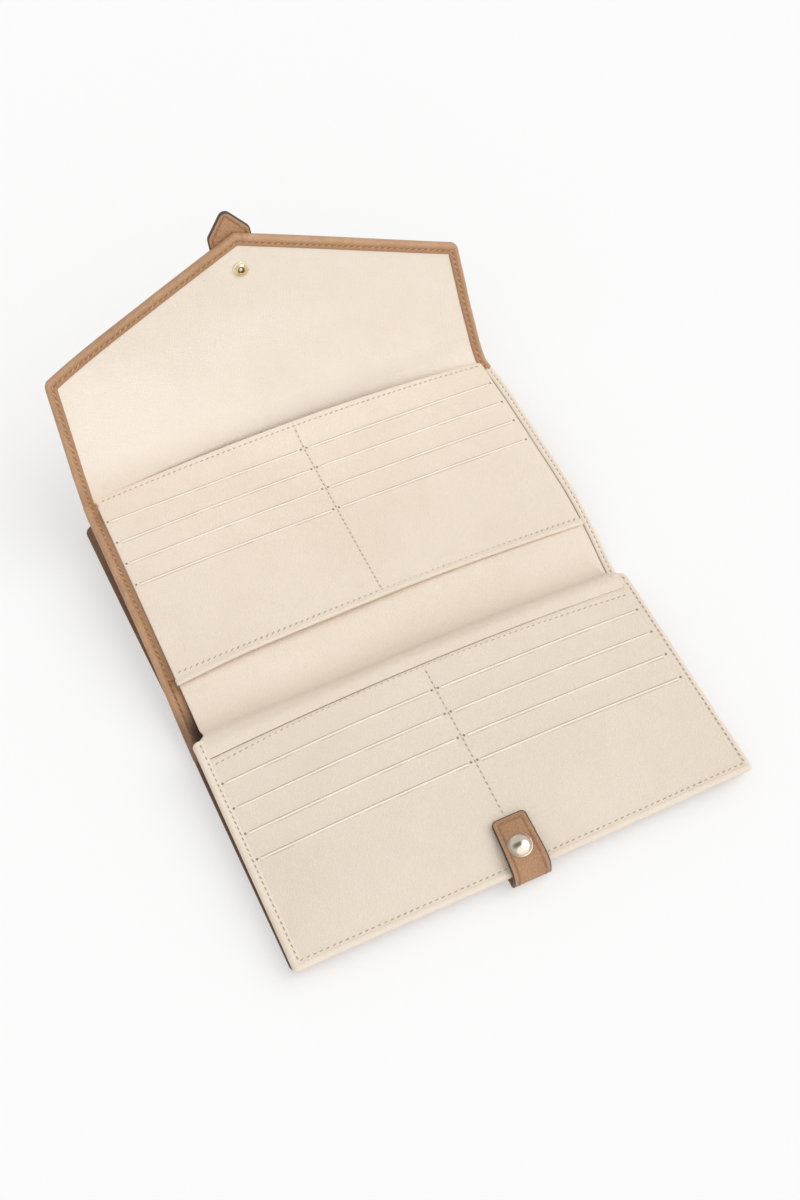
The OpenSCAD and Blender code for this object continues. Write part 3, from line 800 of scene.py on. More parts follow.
def slit_marks(divider_end):
    """Marks of the card slits and the divider.

    Across a slit, from the spine's side down: painted shade a little above it, a thin opening dark
    with painted shade, a bright lip that is a painted highlight and a faint painted shadow under it;
    a dot past each end. Painted shade darkens the leather along the divider's stitches.
    """

    def marks(f, base):
        width = bpy.context.scene.wallet_sizes.slit_width / MM
        x, y, _ = f.place()
        wide = abs(x)
        row = (y / SLIT_PITCH).math("ROUND").least(0.0).most(-3.0) * SLIT_PITCH
        uneven = (f.noise(22, 2, 0.5) - 0.5) * 0.22
        d = y - row + uneven
        inside = wide.step(SLIT_IN - 0.2, SLIT_IN + 0.4) * wide.step(SLIT_OUT + 0.2, SLIT_OUT - 0.4)
        soft = wide.step(SLIT_IN - 1.5, SLIT_IN + 2.5) * wide.step(SLIT_OUT + 1.5, SLIT_OUT - 2.5)
        # Painted shade a little above each slit, where the page falls away from its lip.
        shade = d.step(3.2, 0.2) * (d > 0.0) * soft * 0.12
        # Painted highlight along each slit's lip.
        lip = abs(d + 0.42).step(0.5, 0.24) * inside * 0.9
        broken = f.noise(14, 2, 0.5).step(0.42, 0.6) * 0.5 + 0.12
        # Painted shadow: a faint broken line under the lip.
        under = abs(d + 1.22).step(0.4, 0.05) * inside * broken
        # Painted shade in the slit's opening.
        opening = abs(d - 0.2).step(width / 2 + 0.18, width / 2 - 0.1) * inside * 0.72
        ends = (abs(wide - (SLIT_IN - 1.3))).least(abs(wide - (SLIT_OUT + 1.4)))
        dot = (ends * ends + d * d).step(0.46, 0.12) * 0.8
        # Painted shade in the groove along the divider's stitches.
        sewing = abs(x - 0.3).step(0.9, 0.15) * y.step(divider_end - 0.6, divider_end + 0.4) * 0.35
        base = f.mix(shade.most(sewing), base, tint("cream_shade"))
        base = f.mix(under, base, (0.48, 0.37, 0.26))
        base = f.mix(lip, base, (0.97, 0.90, 0.795))
        base = f.mix(opening, base, (0.42, 0.31, 0.205))
        return f.mix(dot, base, (0.15, 0.105, 0.06))

    return marks


def sheet_marks(f, base):
    """Painted shade, a little darker, where the sheet sags into its valley; y of the place is along the
    sheet.
    """
    _, s, _ = f.place()
    valley = s.step(9.0, 17.0) * s.step(33.0, 20.0) * 0.38
    return f.mix(valley, base, tint("cream_shade"))


def tab_marks(f, base):
    """Painted shade in the grooves along the stitches of the tab."""
    x, s, _ = f.place()
    side = stitch_groove_shade(abs(x) - s * 0.034 - 4.83) * s.step(1.7, 2.3)
    side = side * (stitch_wave(s, 2.7) + 0.5)
    end = stitch_groove_shade(s - 2.2) * abs(x).step(5.3, 4.8) * 0.75
    return f.mix(side.most(end), base, tint("tan_shade", 0.8))


def strap_marks(f, base):
    """Painted shade in the grooves along the strap's stitches, as far in from its edges."""
    x, s, _ = f.place()
    x = abs(x - STRAP_X)
    slant = (POINT + 11.0 - s) * 0.63 - x * 0.776
    inset = slant.least(STRAP_HALF - x)
    return f.mix(stitch_groove_shade(inset - 1.9) * (stitch_wave(x, 2.2) + 0.45), base, tint("tan_shade", 0.8))


def seam_shade(inset):
    return abs(inset - SEAM).step(0.7, 0.15) * 0.8


def binding_marks(f, base):
    """Lighter in patches on its outer roll, darker past its stitches and orange at the top of its inner rim;
    painted shade along its stitches and a dark line at the mitre.

    On these pieces x of the place is the inset from the outer edge.
    """
    inset, s, height = f.place()
    pale_roll = inset.step(2.6, 0.6) * (f.noise(7, 3, 0.6).step(0.3, 0.7) * 0.35 + 0.1)
    inner = inset.step(SEAM, SEAM + 0.8) * 0.2
    mitre = abs(s - MITRE).step(0.6, 0.1) * 0.6
    base = f.mix(pale_roll, base, (0.70, 0.46, 0.29))
    base = f.mix(height.step(1.85, 2.1) * 0.7, base, (0.80, 0.46, 0.24))
    return f.mix(seam_shade(inset).most(inner).most(mitre), base, tint("tan_shade"))


def spine_marks(f, base):
    """Painted shade: darker along its stitches and deepening towards the fold under the lower page; y of the
    place is along it.
    """
    inset, s, _ = f.place()
    # Painted shade deepening towards the fold under the lower page.
    deep = s.step(8.0, 25.0) * (inset.step(2.2, 4.2) * 0.38 + 0.55)
    base = f.mix(seam_shade(inset), base, tint("tan_shade"))
    return f.mix(deep, base, tint("brown", 0.12))


def outside_marks(f, base):
    """The side edges of the cover's outer leather, darkened by painted shade up to the front fold."""
    x, s, _ = f.place()
    # Painted shade on the cover's side edges.
    edge = abs(x).step(94.5, 96.0) * s.step(FRONT_FOLD + 4, FRONT_FOLD) * 0.9
    return f.mix(edge, base, tint("brown", 0.45))


def cream_edge_marks(f, base):
    """A painted highlight, pale, at the turned outer edge, and painted shade, dark, in the gap at the inner
    one.
    """
    inset, _, _ = f.place()
    base = f.mix(inset.step(1.3, 0.5) * 0.5, base, (0.93, 0.90, 0.82))
    return f.mix(inset.step(3.7, 4.1) * 0.7, base, (0.33, 0.22, 0.13))


def sewing_thread(name):
    """Twisted thread: fine slanting ridges and a slight change of tone from stitch to stitch."""
    f = Finish(name)
    tone = f.noise(3.0, 2, 0.5).step(0.3, 0.7) * 0.7
    base = f.mix(tone, tint(name), tint(name, 1.7))
    ridge = f.noise(0.25, 1, 0.5, stretch=(1, 3, 1))
    return f.done(Base_Color=base, Roughness=0.6, Normal=f.bump(ridge, 0.00005, 0.6))


def edge_paint(name):
    f = Finish(name)
    tone = f.noise(2.0, 3, 0.6)
    base = f.mix(tone, tint("paint"), tint("paint", 2.4))
    return f.done(Base_Color=base, Roughness=tone * 0.2 + 0.35, Normal=f.bump(tone, 0.0001, 0.5))


def woven_cloth(name):
    """Plain woven cloth: two crossed waves make the weave."""
    f = Finish(name)
    waves = [
        f.node("ShaderNodeTexWave", {"bands_direction": way}, {"Vector": f.coordinates(), "Scale": 420})
        for way in ("X", "Y")
    ]
    warp, weft = (Value(f, wave.outputs["Fac"]) for wave in waves)
    weave = warp.most(weft)
    base = f.mix(weave * 0.4 + f.noise(18) * 0.3, tint("cloth"), tint("cloth", 0.8))
    return f.done(Base_Color=base, Roughness=0.85, Normal=f.bump(weave, 0.0001, 0.5))


def metal(name, colour, rough, marks=None, tone=0.25, dark=0.75, dull=0.12):
    """Plated metal with a trace of brushing and small wear, darker and duller where it is worn."""
    f = Finish(name)
    wear = f.noise(0.9, 4, 0.6)
    base = f.mix(wear * tone, tint(colour), tint(colour, dark))
    if marks:
        base = marks(f, base)
    return f.done(
        Base_Color=base, Metallic=1.0, Roughness=wear * dull + rough, Normal=f.bump(wear, 0.00002, 0.25)
    )


def socket_marks(f, base):
    """Pale at the ring's rim; painted shade, deep and dark, in the hollow round its middle."""
    radius, _, _ = f.place()
    # Painted shade in the hollow.
    base = f.mix(radius.step(1.9, 1.3) * 0.8, base, (0.30, 0.17, 0.06))
    return f.mix(radius.step(2.9, 3.3) * 0.55, base, (0.96, 0.90, 0.74))


def dome_marks(f, base):
    """Darker at the dome's rim, with one dark reflection painted low on its left."""
    radius, _, _ = f.place()
    at = f.node("ShaderNodeSeparateXYZ", {}, {0: f.coordinates()})
    x, y = (Value(f, at.outputs[k]) * 1000 for k in (0, 1))
    # Painted reflection: a dark band across the cap, low on its left.
    painted_reflection = abs(y - DOME_REFLECTION[1]).step(1.5, 0.2) * abs(x - DOME_REFLECTION[0]).step(3.0, 0.8)
    base = f.mix(painted_reflection * 0.85, base, (0.13, 0.105, 0.07))
    return f.mix(radius.step(3.5, 4.5) * 0.5, base, (0.33, 0.25, 0.17))


def table(name):
    """Plain pale table; the camera and the metals see a share of it as plain white."""
    f = Finish(name)
    base = f.mix(f.noise(300, 2, 0.5) * 0.02, tint("floor"), tint("floor", 0.9))
    plain = f.node(
        "ShaderNodeBsdfPrincipled", {}, {"Base Color": base, "Roughness": 0.9, "Specular IOR Level": 0.1}
    )
    white = f.node("ShaderNodeEmission", {}, {"Color": (1, 1, 1), "Strength": 1.0})
    path = f.node("ShaderNodeLightPath", {}, {})
    seen = Value(f, path.outputs["Is Camera Ray"])
    for ray in ("Is Glossy Ray", "Is Transmission Ray"):
        seen = seen.most(Value(f, path.outputs[ray]))
    mixed = f.node("ShaderNodeMixShader", {}, {0: seen * 0.42, 1: plain.outputs[0], 2: white.outputs[0]})
    f.node("ShaderNodeOutputMaterial", {}, {"Surface": mixed.outputs[0]})
    return f.material


LINING = (0.90, 0.805, 0.695)
MAKERS = {
    # Same cream as the upper page, made a little darker: painted shade on the lower page.
    "lower_face": lambda n: cream(n, slit_marks(-61.0), 0.955),
    "upper_face": lambda n: cream(n, slit_marks(-84.0)),
    "cream": cream,
    "cream_edge": lambda n: cream(n, cream_edge_marks),
    "sheet": lambda n: cream(n, sheet_marks),
    "lining": lambda n: leather(n, LINING, tint("cream_shade"), mottling=0.24),
    "tan": tan,
    "tab": lambda n: tan(n, tab_marks, mottling=0.75),
    "strap": lambda n: tan(n, strap_marks, mottling=0.75),
    "binding": lambda n: tan(n, binding_marks, rough=0.46),
    "spine_edge": lambda n: tan(n, spine_marks, rough=0.4, mottling=0.5, grain=1.3),
    "outside": lambda n: tan(n, outside_marks),
    # Dark leather whose colour is painted shade on tan leather.
    "brown": lambda n: leather(n, tint("brown"), tint("brown", 0.5), None, 0.62, 0.6, 1.4),
    "thread": sewing_thread,
    "tan_thread": sewing_thread,
    "seam_thread": sewing_thread,
    "paint": edge_paint,
    "cloth": woven_cloth,
    "silver": lambda n: metal(n, "silver", 0.14),
    "gold": lambda n: metal(n, "gold", 0.22),
    "socket": lambda n: metal(n, "gold", 0.18, socket_marks, dull=0.1),
    "dome": lambda n: metal(n, "dome", 0.16, dome_marks, tone=0.2, dark=0.8, dull=0.1),
    "floor": table,
}
FINISHES = {}


def finish(kind):
    """One material of each kind, made when it is first asked for."""
    if kind not in FINISHES:
        FINISHES[kind] = MAKERS[kind](kind)
    return FINISHES[kind]


# Operators


class Builder:
    """What the operators share."""

    bl_options = {"REGISTER", "UNDO"}

    def execute(self, context):
        self.build(context.scene.wallet_sizes)
        return {"FINISHED"}

    def thread(self, sizes):
        return {
            "pitch": sizes.stitch_pitch / MM,
            "size": sizes.stitch_length / MM,
            "radius": sizes.thread_radius / MM,
        }


def slit_relief(x, y):
    """Heights round the slits.

    On the free-edge side a lip stands up and fades with e^(d/1.2); on the far side the leather
    lies lower and comes back with e^(-d/1.4); the opening itself is a narrow trough.
    """
    lip_h = bpy.context.scene.wallet_sizes.lip_height / MM
    row = np.clip(np.round(y / SLIT_PITCH), -3, 0) * SLIT_PITCH
    d = y - row
    wide = np.abs(x)
    soft = smooth(SLIT_IN - 1.2, SLIT_IN + 1.6, wide)
    soft = soft * (1 - smooth(SLIT_OUT - 1.6, SLIT_OUT + 1.2, wide))
    uneven = 1 + 0.22 * np.sin(x / 8.3 + row) + 0.12 * np.sin(x / 3.1 - row * 2)
    above = lip_h * uneven * np.exp(np.minimum(d, 0) / 1.2)
    lip = np.where(d < 0, above, -0.12 * np.exp(-np.maximum(d, 0) / 1.4))
    cut = -0.2 * np.exp(-((d / 0.24) ** 2))
    return soft * (lip + cut)


def page_columns(half):
    """Columns of a card page from -1 to 1, close together at the ends of the slits."""
    near = (-1.4, -0.7, -0.25, 0.25, 0.7, 1.4)
    x = np.concatenate([
        np.linspace(-half, half, 57),
        *[c + np.array(near) for c in (-SLIT_OUT, -SLIT_IN, SLIT_IN, SLIT_OUT)],
    ])
    x = np.unique(np.clip(x, -half, half))
    return x[np.concatenate([[True], np.diff(x) > 0.12])] / half


def page_rows(low, high):
    """Rows of a card page, close together round the slits and at its lower end."""
    near = (-4.4, -3.0, -1.9, -1.1, -0.6, -0.32, -0.16, 0, 0.16, 0.32, 0.6, 1.1, 1.9, 3.0, 4.4)
    y = np.concatenate([
        np.linspace(low, -42, 16),
        *[-r * SLIT_PITCH + np.array(near) for r in range(4)],
        np.linspace(5.4, high, 7),
        [low, low + 0.8, low + 1.6, low + 2.4],
    ])
    y = np.unique(y[(y >= low) & (y <= high)])
    return y[np.concatenate([[True], np.diff(y) > 0.08])]


class WALLET_OT_stage(Builder, bpy.types.Operator):
    """Camera, table, lamps and world"""

    bl_idname = "wallet.stage"
    bl_label = "Stage"

    def build(self, sizes):
        scene = bpy.context.scene
        far = np.linspace(-3500, 3500, 5)
        x, y = np.meshgrid(far, far, indexing="xy")
        points = np.stack([x, y, 0 * x - 0.1], -1).reshape(-1, 3)
        faces = grid_faces(len(far), len(far), closed=False)
        floor = piece("table_top", (points, faces, points), finish("floor"))
        camera = bpy.data.objects.new("camera", bpy.data.cameras.new("camera"))
        scene.collection.objects.link(camera)
        camera.data.lens, camera.data.sensor_width, camera.data.sensor_fit = 54.0, 36.0, "AUTO"
        camera.data.clip_start, camera.data.clip_end = 0.05, 20
        # Where the camera stands, and the directions of its right, its foot and its view.
        at = (-0.14271, -0.44304 + SHIFT * MM, 0.61159)
        right = (0.9080569, -0.4123678, -0.0733864)
        down = (-0.3685346, -0.7033610, -0.6078368)
        ahead = (0.1990352, 0.5789958, -0.7906635)
        rows = [(right[k], -down[k], -ahead[k], at[k]) for k in range(3)]
        camera.matrix_world = Matrix(rows + [(0, 0, 0, 1)])
        scene.camera = camera
        for name, strength, angle, az, el in (("key", 0.95, 55, 76, 52), ("fill", 0.75, 90, 10, 38)):
            lamp = bpy.data.objects.new(name, bpy.data.lights.new(name, "SUN"))
            scene.collection.objects.link(lamp)
            lamp.data.energy, lamp.data.angle = strength, math.radians(angle)
            lamp.rotation_euler = (math.radians(90 - el), 0, math.radians(az))
        world = bpy.data.worlds.new("studio")
        scene.world = world
        world.use_nodes = True
        back = world.node_tree.nodes["Background"]
        path = world.node_tree.nodes.new("ShaderNodeLightPath")
        mix = world.node_tree.nodes.new("ShaderNodeMapRange")
        mix.inputs[3].default_value, mix.inputs[4].default_value = 0.62, 1.0
        world.node_tree.links.new(path.outputs["Is Camera Ray"], mix.inputs[0])
        world.node_tree.links.new(mix.outputs[0], back.inputs["Strength"])
        back.inputs["Color"].default_value = (1, 1, 1, 1)
        scene.view_settings.view_transform = "Standard"


class WALLET_OT_lower_page(Builder, bpy.types.Operator):
    """Lower card page: face with slits, rolled border, backing, pocket leaves and stitches"""

    bl_idname = "wallet.lower_page"
    bl_label = "Lower card page"

    def build(self, sizes):
        low, high, half = -84.3, 12.4, 95.8
        sides = straight(-half, half)

        def relief(x, y):
            ridge = 0.22 * np.exp(-(((y - 10.9) / 0.8) ** 2))
            return slit_relief(x, y) - 0.2 * smooth(11.4, high, y) + ridge

        rows = page_rows(low + 0.8, high)
        face = piece(
            "lower_page_face",
            slab(lower_page, rows, page_columns(half), sides, 0, -0.9, relief),
            finish("lower_face"),
        )
        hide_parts("lower_card_face", "page_roll")
        rows, columns = np.linspace(low + 1.2, high + 3.4, 24), np.linspace(-1, 1, 24)
        back = piece(
            "lower_page_back_leaf", slab(lower_page, rows, columns, sides, -2.0, -2.8), finish("cream")
        )
        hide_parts("lower_page_backing")
        # Half width at the outer edge, and where the border's sides end at the spine.
        wide, corner = 97, 11.5
        # The lines of the border's stitches.
        left, right, foot = -93.7, 94.8, -80.9
        profile = [
            (0, -1.2), (0.05, -0.5), (0.35, 0.12), (0.9, 0.5), (1.6, 0.6), (2.2, 0.42), (2.6, 0.2),
            (3.4, 0.16), (4.1, 0.12), (4.4, 0.0), (4.45, -0.5), (4.2, -1.5), (3, -1.8), (1, -1.8),
            (0.2, -1.6),
        ]
        round_page = [(-wide, corner), (-wide, low), (wide, low), (wide, corner)]
        left_end = [(-91.5, 23.4), (-wide, 23.4), (-wide, corner)]
        right_end = [(wide, corner), (wide, 21.4), (90, 22.4)]
        rims = [
            piece(name, edging(lower_rim, path, radii, profile, 2.5, rounded=closed), finish("cream"))
            for name, path, radii, closed in (
                ("lower_page_border", round_page, (0, 1.6, 1.6, 0), (0, 0)),
                ("lower_page_roll_end_left", left_end, (0, 3.0, 0), (2.5, 0)),
                ("lower_page_roll_end_right", right_end, (0, 4.5, 0), (0, 3.0)),
            )
        ]
        border = rims[0]
        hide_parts("page_border")
        k = self.thread(sizes)
        top = np.array([(-92, 9.1), (-60, 10.6), (-35, 11.3), (0, 11.2), (45, 10.2), (92, 8.4)])
        rows = [
            sewn(lower_rim, [(left, corner), (left, foot)], 0.2, slant=0.15, seed=3, **k),
            sewn(lower_page, [(left, foot), (right, foot)], 0.17, slant=0.15, seed=6, **k),
            sewn(lower_rim, [(right, foot), (right, corner)], 0.44, slant=0.15, seed=7, **k),
            sewn(lower_page, top, 0.0, slant=0.2, seed=4, **k),
            sewn(lower_page, [(0.3, 9.6), (0.3, -61.0)], 0.0, slant=0.15, seed=5, **k),
        ]
        thread = piece("lower_page_stitches", rows, finish("thread"))
        ends = piece("lower_page_roll_end_stitches", [
            sewn(lower_rim, [(left, 20.5), (left, corner)], 0.2, slant=0.15, seed=8, **k),
            sewn(lower_rim, [(right, corner), (right, 18.0)], 0.44, slant=0.15, seed=9, **k),
        ], finish("thread"))
        for o in (face, back, border, thread):
            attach(o, "page")
        for o in (*rims[1:], ends):
            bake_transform(o)
        pockets(lower_page, "lower", "page")


def pockets(sheet, which, body):
    """Card pockets of one page: in each column a cloth leaf under each slit, the next one deeper."""
    deep, foot, thick = 52, -80, 0.22
    for side, sign in (("left", -1), ("right", 1)):
        leaves = []
        sides = straight(*sorted((sign * 3.0, sign * 90.2)))
        for k in range(4):
            y = -k * SLIT_PITCH + 1.5
            h = -1.05 - 0.3 * k
            rows = np.linspace(max(y - deep, foot), y, 8)
            leaves.append(slab(sheet, rows, np.linspace(-1, 1, 12), sides, h, h - thick, edge=2))
        o = piece(f"{which}_pocket_leaves_{side}", leaves, finish("cloth"))
        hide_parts(f"{which}_pockets_{side}")
        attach(o, body)


def hem_sheet(x, y):
    """The upper page's surface, with the hem hanging lower towards the left by a smooth line."""
    drop = spline(x, (-94, -71, -23, 16, 60, 94), (-1.3, 0.2, 0.9, 1.5, 1.2, 0.6))
    return upper_page(x, y + drop)


class WALLET_OT_upper_page(Builder, bpy.types.Operator):
    """Upper card page: face with slits, hem, backing, pocket leaves and stitches"""

    bl_idname = "wallet.upper_page"
    bl_label = "Upper card page"

    def build(self, sizes):
        low, high = -86.4, 13.6

        def sides(y):
            cut = corner_cut(high - y, 2.0)
            return -93.4 + cut, 93.8 - cut

        face = piece(
            "upper_page_face",
            slab(upper_page, page_rows(low, high), page_columns(93.6), sides, 0, -0.9, slit_relief),
            finish("upper_face"),
        )
        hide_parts("upper_card_face")
        back = piece(
            "upper_page_back_leaf",
            slab(
                upper_page, np.linspace(low + 1.5, high - 1.0, 26), np.linspace(-1, 1, 24),
                straight(-91.6, 92.0), -1.0, -1.7,
            ),
            finish("cream"),
        )
        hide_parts("upper_page_backing")

        def roll(x, y):
            return 0.3 * np.exp(-(((y + 87.2) / 0.8) ** 2)) + 0.08 * np.sin(x / 6.0)

        hem = piece(
            "upper_page_hem",
            slab(
                hem_sheet, spaced((-88.2,), (-85.0, 0.3)), np.linspace(-1, 1, 70),
                straight(-93.8, 94.0), 0.3, -0.9, roll,
            ),
            finish("cream"),
        )
        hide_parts("upper_hem")
        k = self.thread(sizes)
        rows = [
            sewn(upper_page, [(-91.5, 11.4), (92, 11.4)], 0.0, slant=0.15, seed=11, **k),
            sewn(upper_page, [(-92.0, -83.9), (92.4, -83.9)], 0.05, slant=0.55, seed=12, **k),
            sewn(upper_page, [(0.3, 10.4), (0.3, -83.0)], 0.0, slant=0.15, seed=13, **k),
        ]
        thread = piece("upper_page_stitches", rows, finish("thread"))
        for o in (face, back, hem, thread):
            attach(o, "upper_page")
        pockets(upper_page, "upper", "upper_page")


class WALLET_OT_inner_sheet(Builder, bpy.types.Operator):
    """Sheet that joins the two pages and sags over the spine: band, valley and foot"""

    bl_idname = "wallet.inner_sheet"
    bl_label = "Inner sheet"

    def build(self, sizes):
        stops = (0.0, 7.0, 25.0, SAG_REACH[-1])
        before = fold("front_fold", (-7.8, 14), (-2.4, 14))
        after = fold("spine_fold", (-6.4, 0), (6.6, 0))
        for i, (name, bodies, bend, ends) in enumerate((
            ("inner_sheet_band", ("page", "front"), before, ("round", "flat")),
            ("inner_sheet_valley", ("front", "spine"), ROLL_BEND, ("flat", "flat")),
            ("inner_sheet_foot", ("spine", "back"), after, ("flat", "round")),
        )):
            a, b = stops[i], stops[i + 1]
            rows, columns = np.linspace(a, b, 26), np.linspace(-1, 1, 70)
            part = slab(inner_sheet, rows, columns, sheet_sides, 0.0, -0.9, None, ends)
            o = piece(name, part, finish("sheet"))
            if i == 1:
                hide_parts("inner_spine_sheet")
            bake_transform(o)
            i > 0


class WALLET_OT_cover(Builder, bpy.types.Operator):
    """Outer cover: tan leather and cream lining in four lengths, each across one fold"""

    bl_idname = "wallet.cover"
    bl_label = "Outer cover"

    def build(self, sizes):
        stops = (2.0, (FRONT_FOLD + SPINE_FOLD) / 2, SPINE_FOLD + 54, BAND_FOOT, POINT - 0.4)
        front_bend = fold("front_fold", (-6, 0), (6, 1))
        for i, (name, bodies, bend, step) in enumerate((
            ("front", ("front", "spine"), front_bend, 2.5),
            ("spine", ("spine", "back"), SPINE_BEND, 2.5),
            ("back", ("back", "flap_bridge"), BRIDGE_BEND, 1.5),
            ("flap", ("flap_bridge", "flap"), FLAP_BEND, 1.5),
        )):
            ends = ("round" if i == 0 else "flat", "round" if i == 3 else "flat")
            rows, columns = spaced((stops[i],), (stops[i + 1], step)), np.linspace(-1, 1, 70)
            for layer, top, bottom, inset, look, slot in (
                ("leather", -0.9, -2.3, 0.0, "outside", "tan_leather"),
                ("lining", 0.0, -0.9, 1.5 if i == 0 else 0.25, "lining", "cream_leather"),
            ):

                def sides(s, inset=inset):
                    left, right = cover_sides(s)
                    return np.minimum(left + inset, -0.2), np.maximum(right - inset, 0.2)

                leaf = slab(cover, rows, columns, sides, top, bottom, None, ends)
                o = piece(f"cover_{layer}_{name}", leaf, finish(look))
                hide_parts(f"{name}_{layer}")
                if i == 3:
                    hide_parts(f"bridge_{layer}")
                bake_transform(o)


# Rings of (inset, height). The outer roll of the tan edges, which the first two rings begin with;
# the tan edge beside the page, the same over the spine, and the cream edge.
ROLL = [
    (0.25, -2.4), (-0.15, -2.2), (-0.18, -0.6), (0.05, 0.2), (0.4, 0.65), (0.95, 0.95), (1.6, 1.0),
    (2.25, 0.85), (2.75, 0.58), (SEAM, 0.4),
]
TAN_EDGE = ROLL + [
    (3.5, 0.75), (4.3, 1.3), (5.1, 1.9), (5.6, 2.2), (5.85, 2.1), (6.0, -0.2), (3, -0.2), (0.3, -0.25),
    (0.2, -2.2),
]
SPINE_EDGE = ROLL + [
    (3.6, 0.52), (6, 0.5), (8.5, 0.42), (11, 0.3), (11.6, 0.1), (11.6, -0.2), (6, -0.2), (0.3, -0.25),
    (0.2, -2.2),
]
CREAM_EDGE = [
    (0.3, -2.5), (-0.25, -2.3), (-0.35, -1.0), (-0.15, 0.1), (0.3, 0.5), (1.0, 0.72), (1.7, 0.6),
    (2.1, 0.5), (2.7, 0.66), (3.5, 0.62), (4.1, 0.3), (4.3, -0.2), (1.5, -0.2), (0.1, -0.3), (0.05, -2.2),
]


def side_path(side, a, b):
    """Along one side of the cover between a and b, with the cover on its left."""
    s = [v for v in (a, SPINE_FOLD, REACH[12], b) if a <= v <= b]
    path = [(side * float(cover_sides(np.array(v))[1]), v) for v in s]
    return path if side > 0 else path[::-1]


class WALLET_OT_edge_strips(Builder, bpy.types.Operator):
    """Turned edges of the back cover and spine, tan at the left and cream at the right"""

    bl_idname = "wallet.edge_strips"
    bl_label = "Edge strips"

    def build(self, sizes):
        k = self.thread(sizes)
        tan_k = dict(k, pitch=2.9, size=2.1, radius=0.24, slant=0.4)
        foot, knee = FRONT_FOLD + 1.5, SPINE_FOLD + 8
        for name, side, a, b, profile, look, sewing, closed in (
            # The left spine edge's stitches take the dark finish of painted shade, as they lie in the fold's
            # shade.
            ("spine_edge_left", -1, foot, knee, SPINE_EDGE, "spine_edge", "brown", (0, 1.5)),
            ("spine_edge_right", 1, foot, knee, CREAM_EDGE, "cream_edge", "thread", (1.5, 0)),
            ("edge_strip_left", -1, knee, BRIDGE_FOLD + 2, TAN_EDGE, "binding", "tan_thread", (2.5, 0)),
            ("edge_strip_right", 1, knee, BRIDGE_FOLD - 4, CREAM_EDGE, "cream_edge", "thread", (0, 2.5)),
        ):
            at, size, slot = SEAM, tan_k, "tan_leather"
            if side > 0:
                at, size, slot = CREAM_SEAM, k, "cream_leather"
            path = side_path(side, a, b)
            radii = [0] * len(path)
            strip = edging(cover, path, radii, profile, 1.5, rounded=closed)
            o = piece(f"cover_{name}", strip, finish(look))
            line = outline(path, radii, at, 2.0)
            thread = piece(f"cover_{name}_stitches", sewn(cover, line, 0.5, seed=21, **size), finish(sewing))
            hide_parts(name)
            for p in (o, thread):
                if a == foot:
                    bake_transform(p)
                else:
                    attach(p, "back")


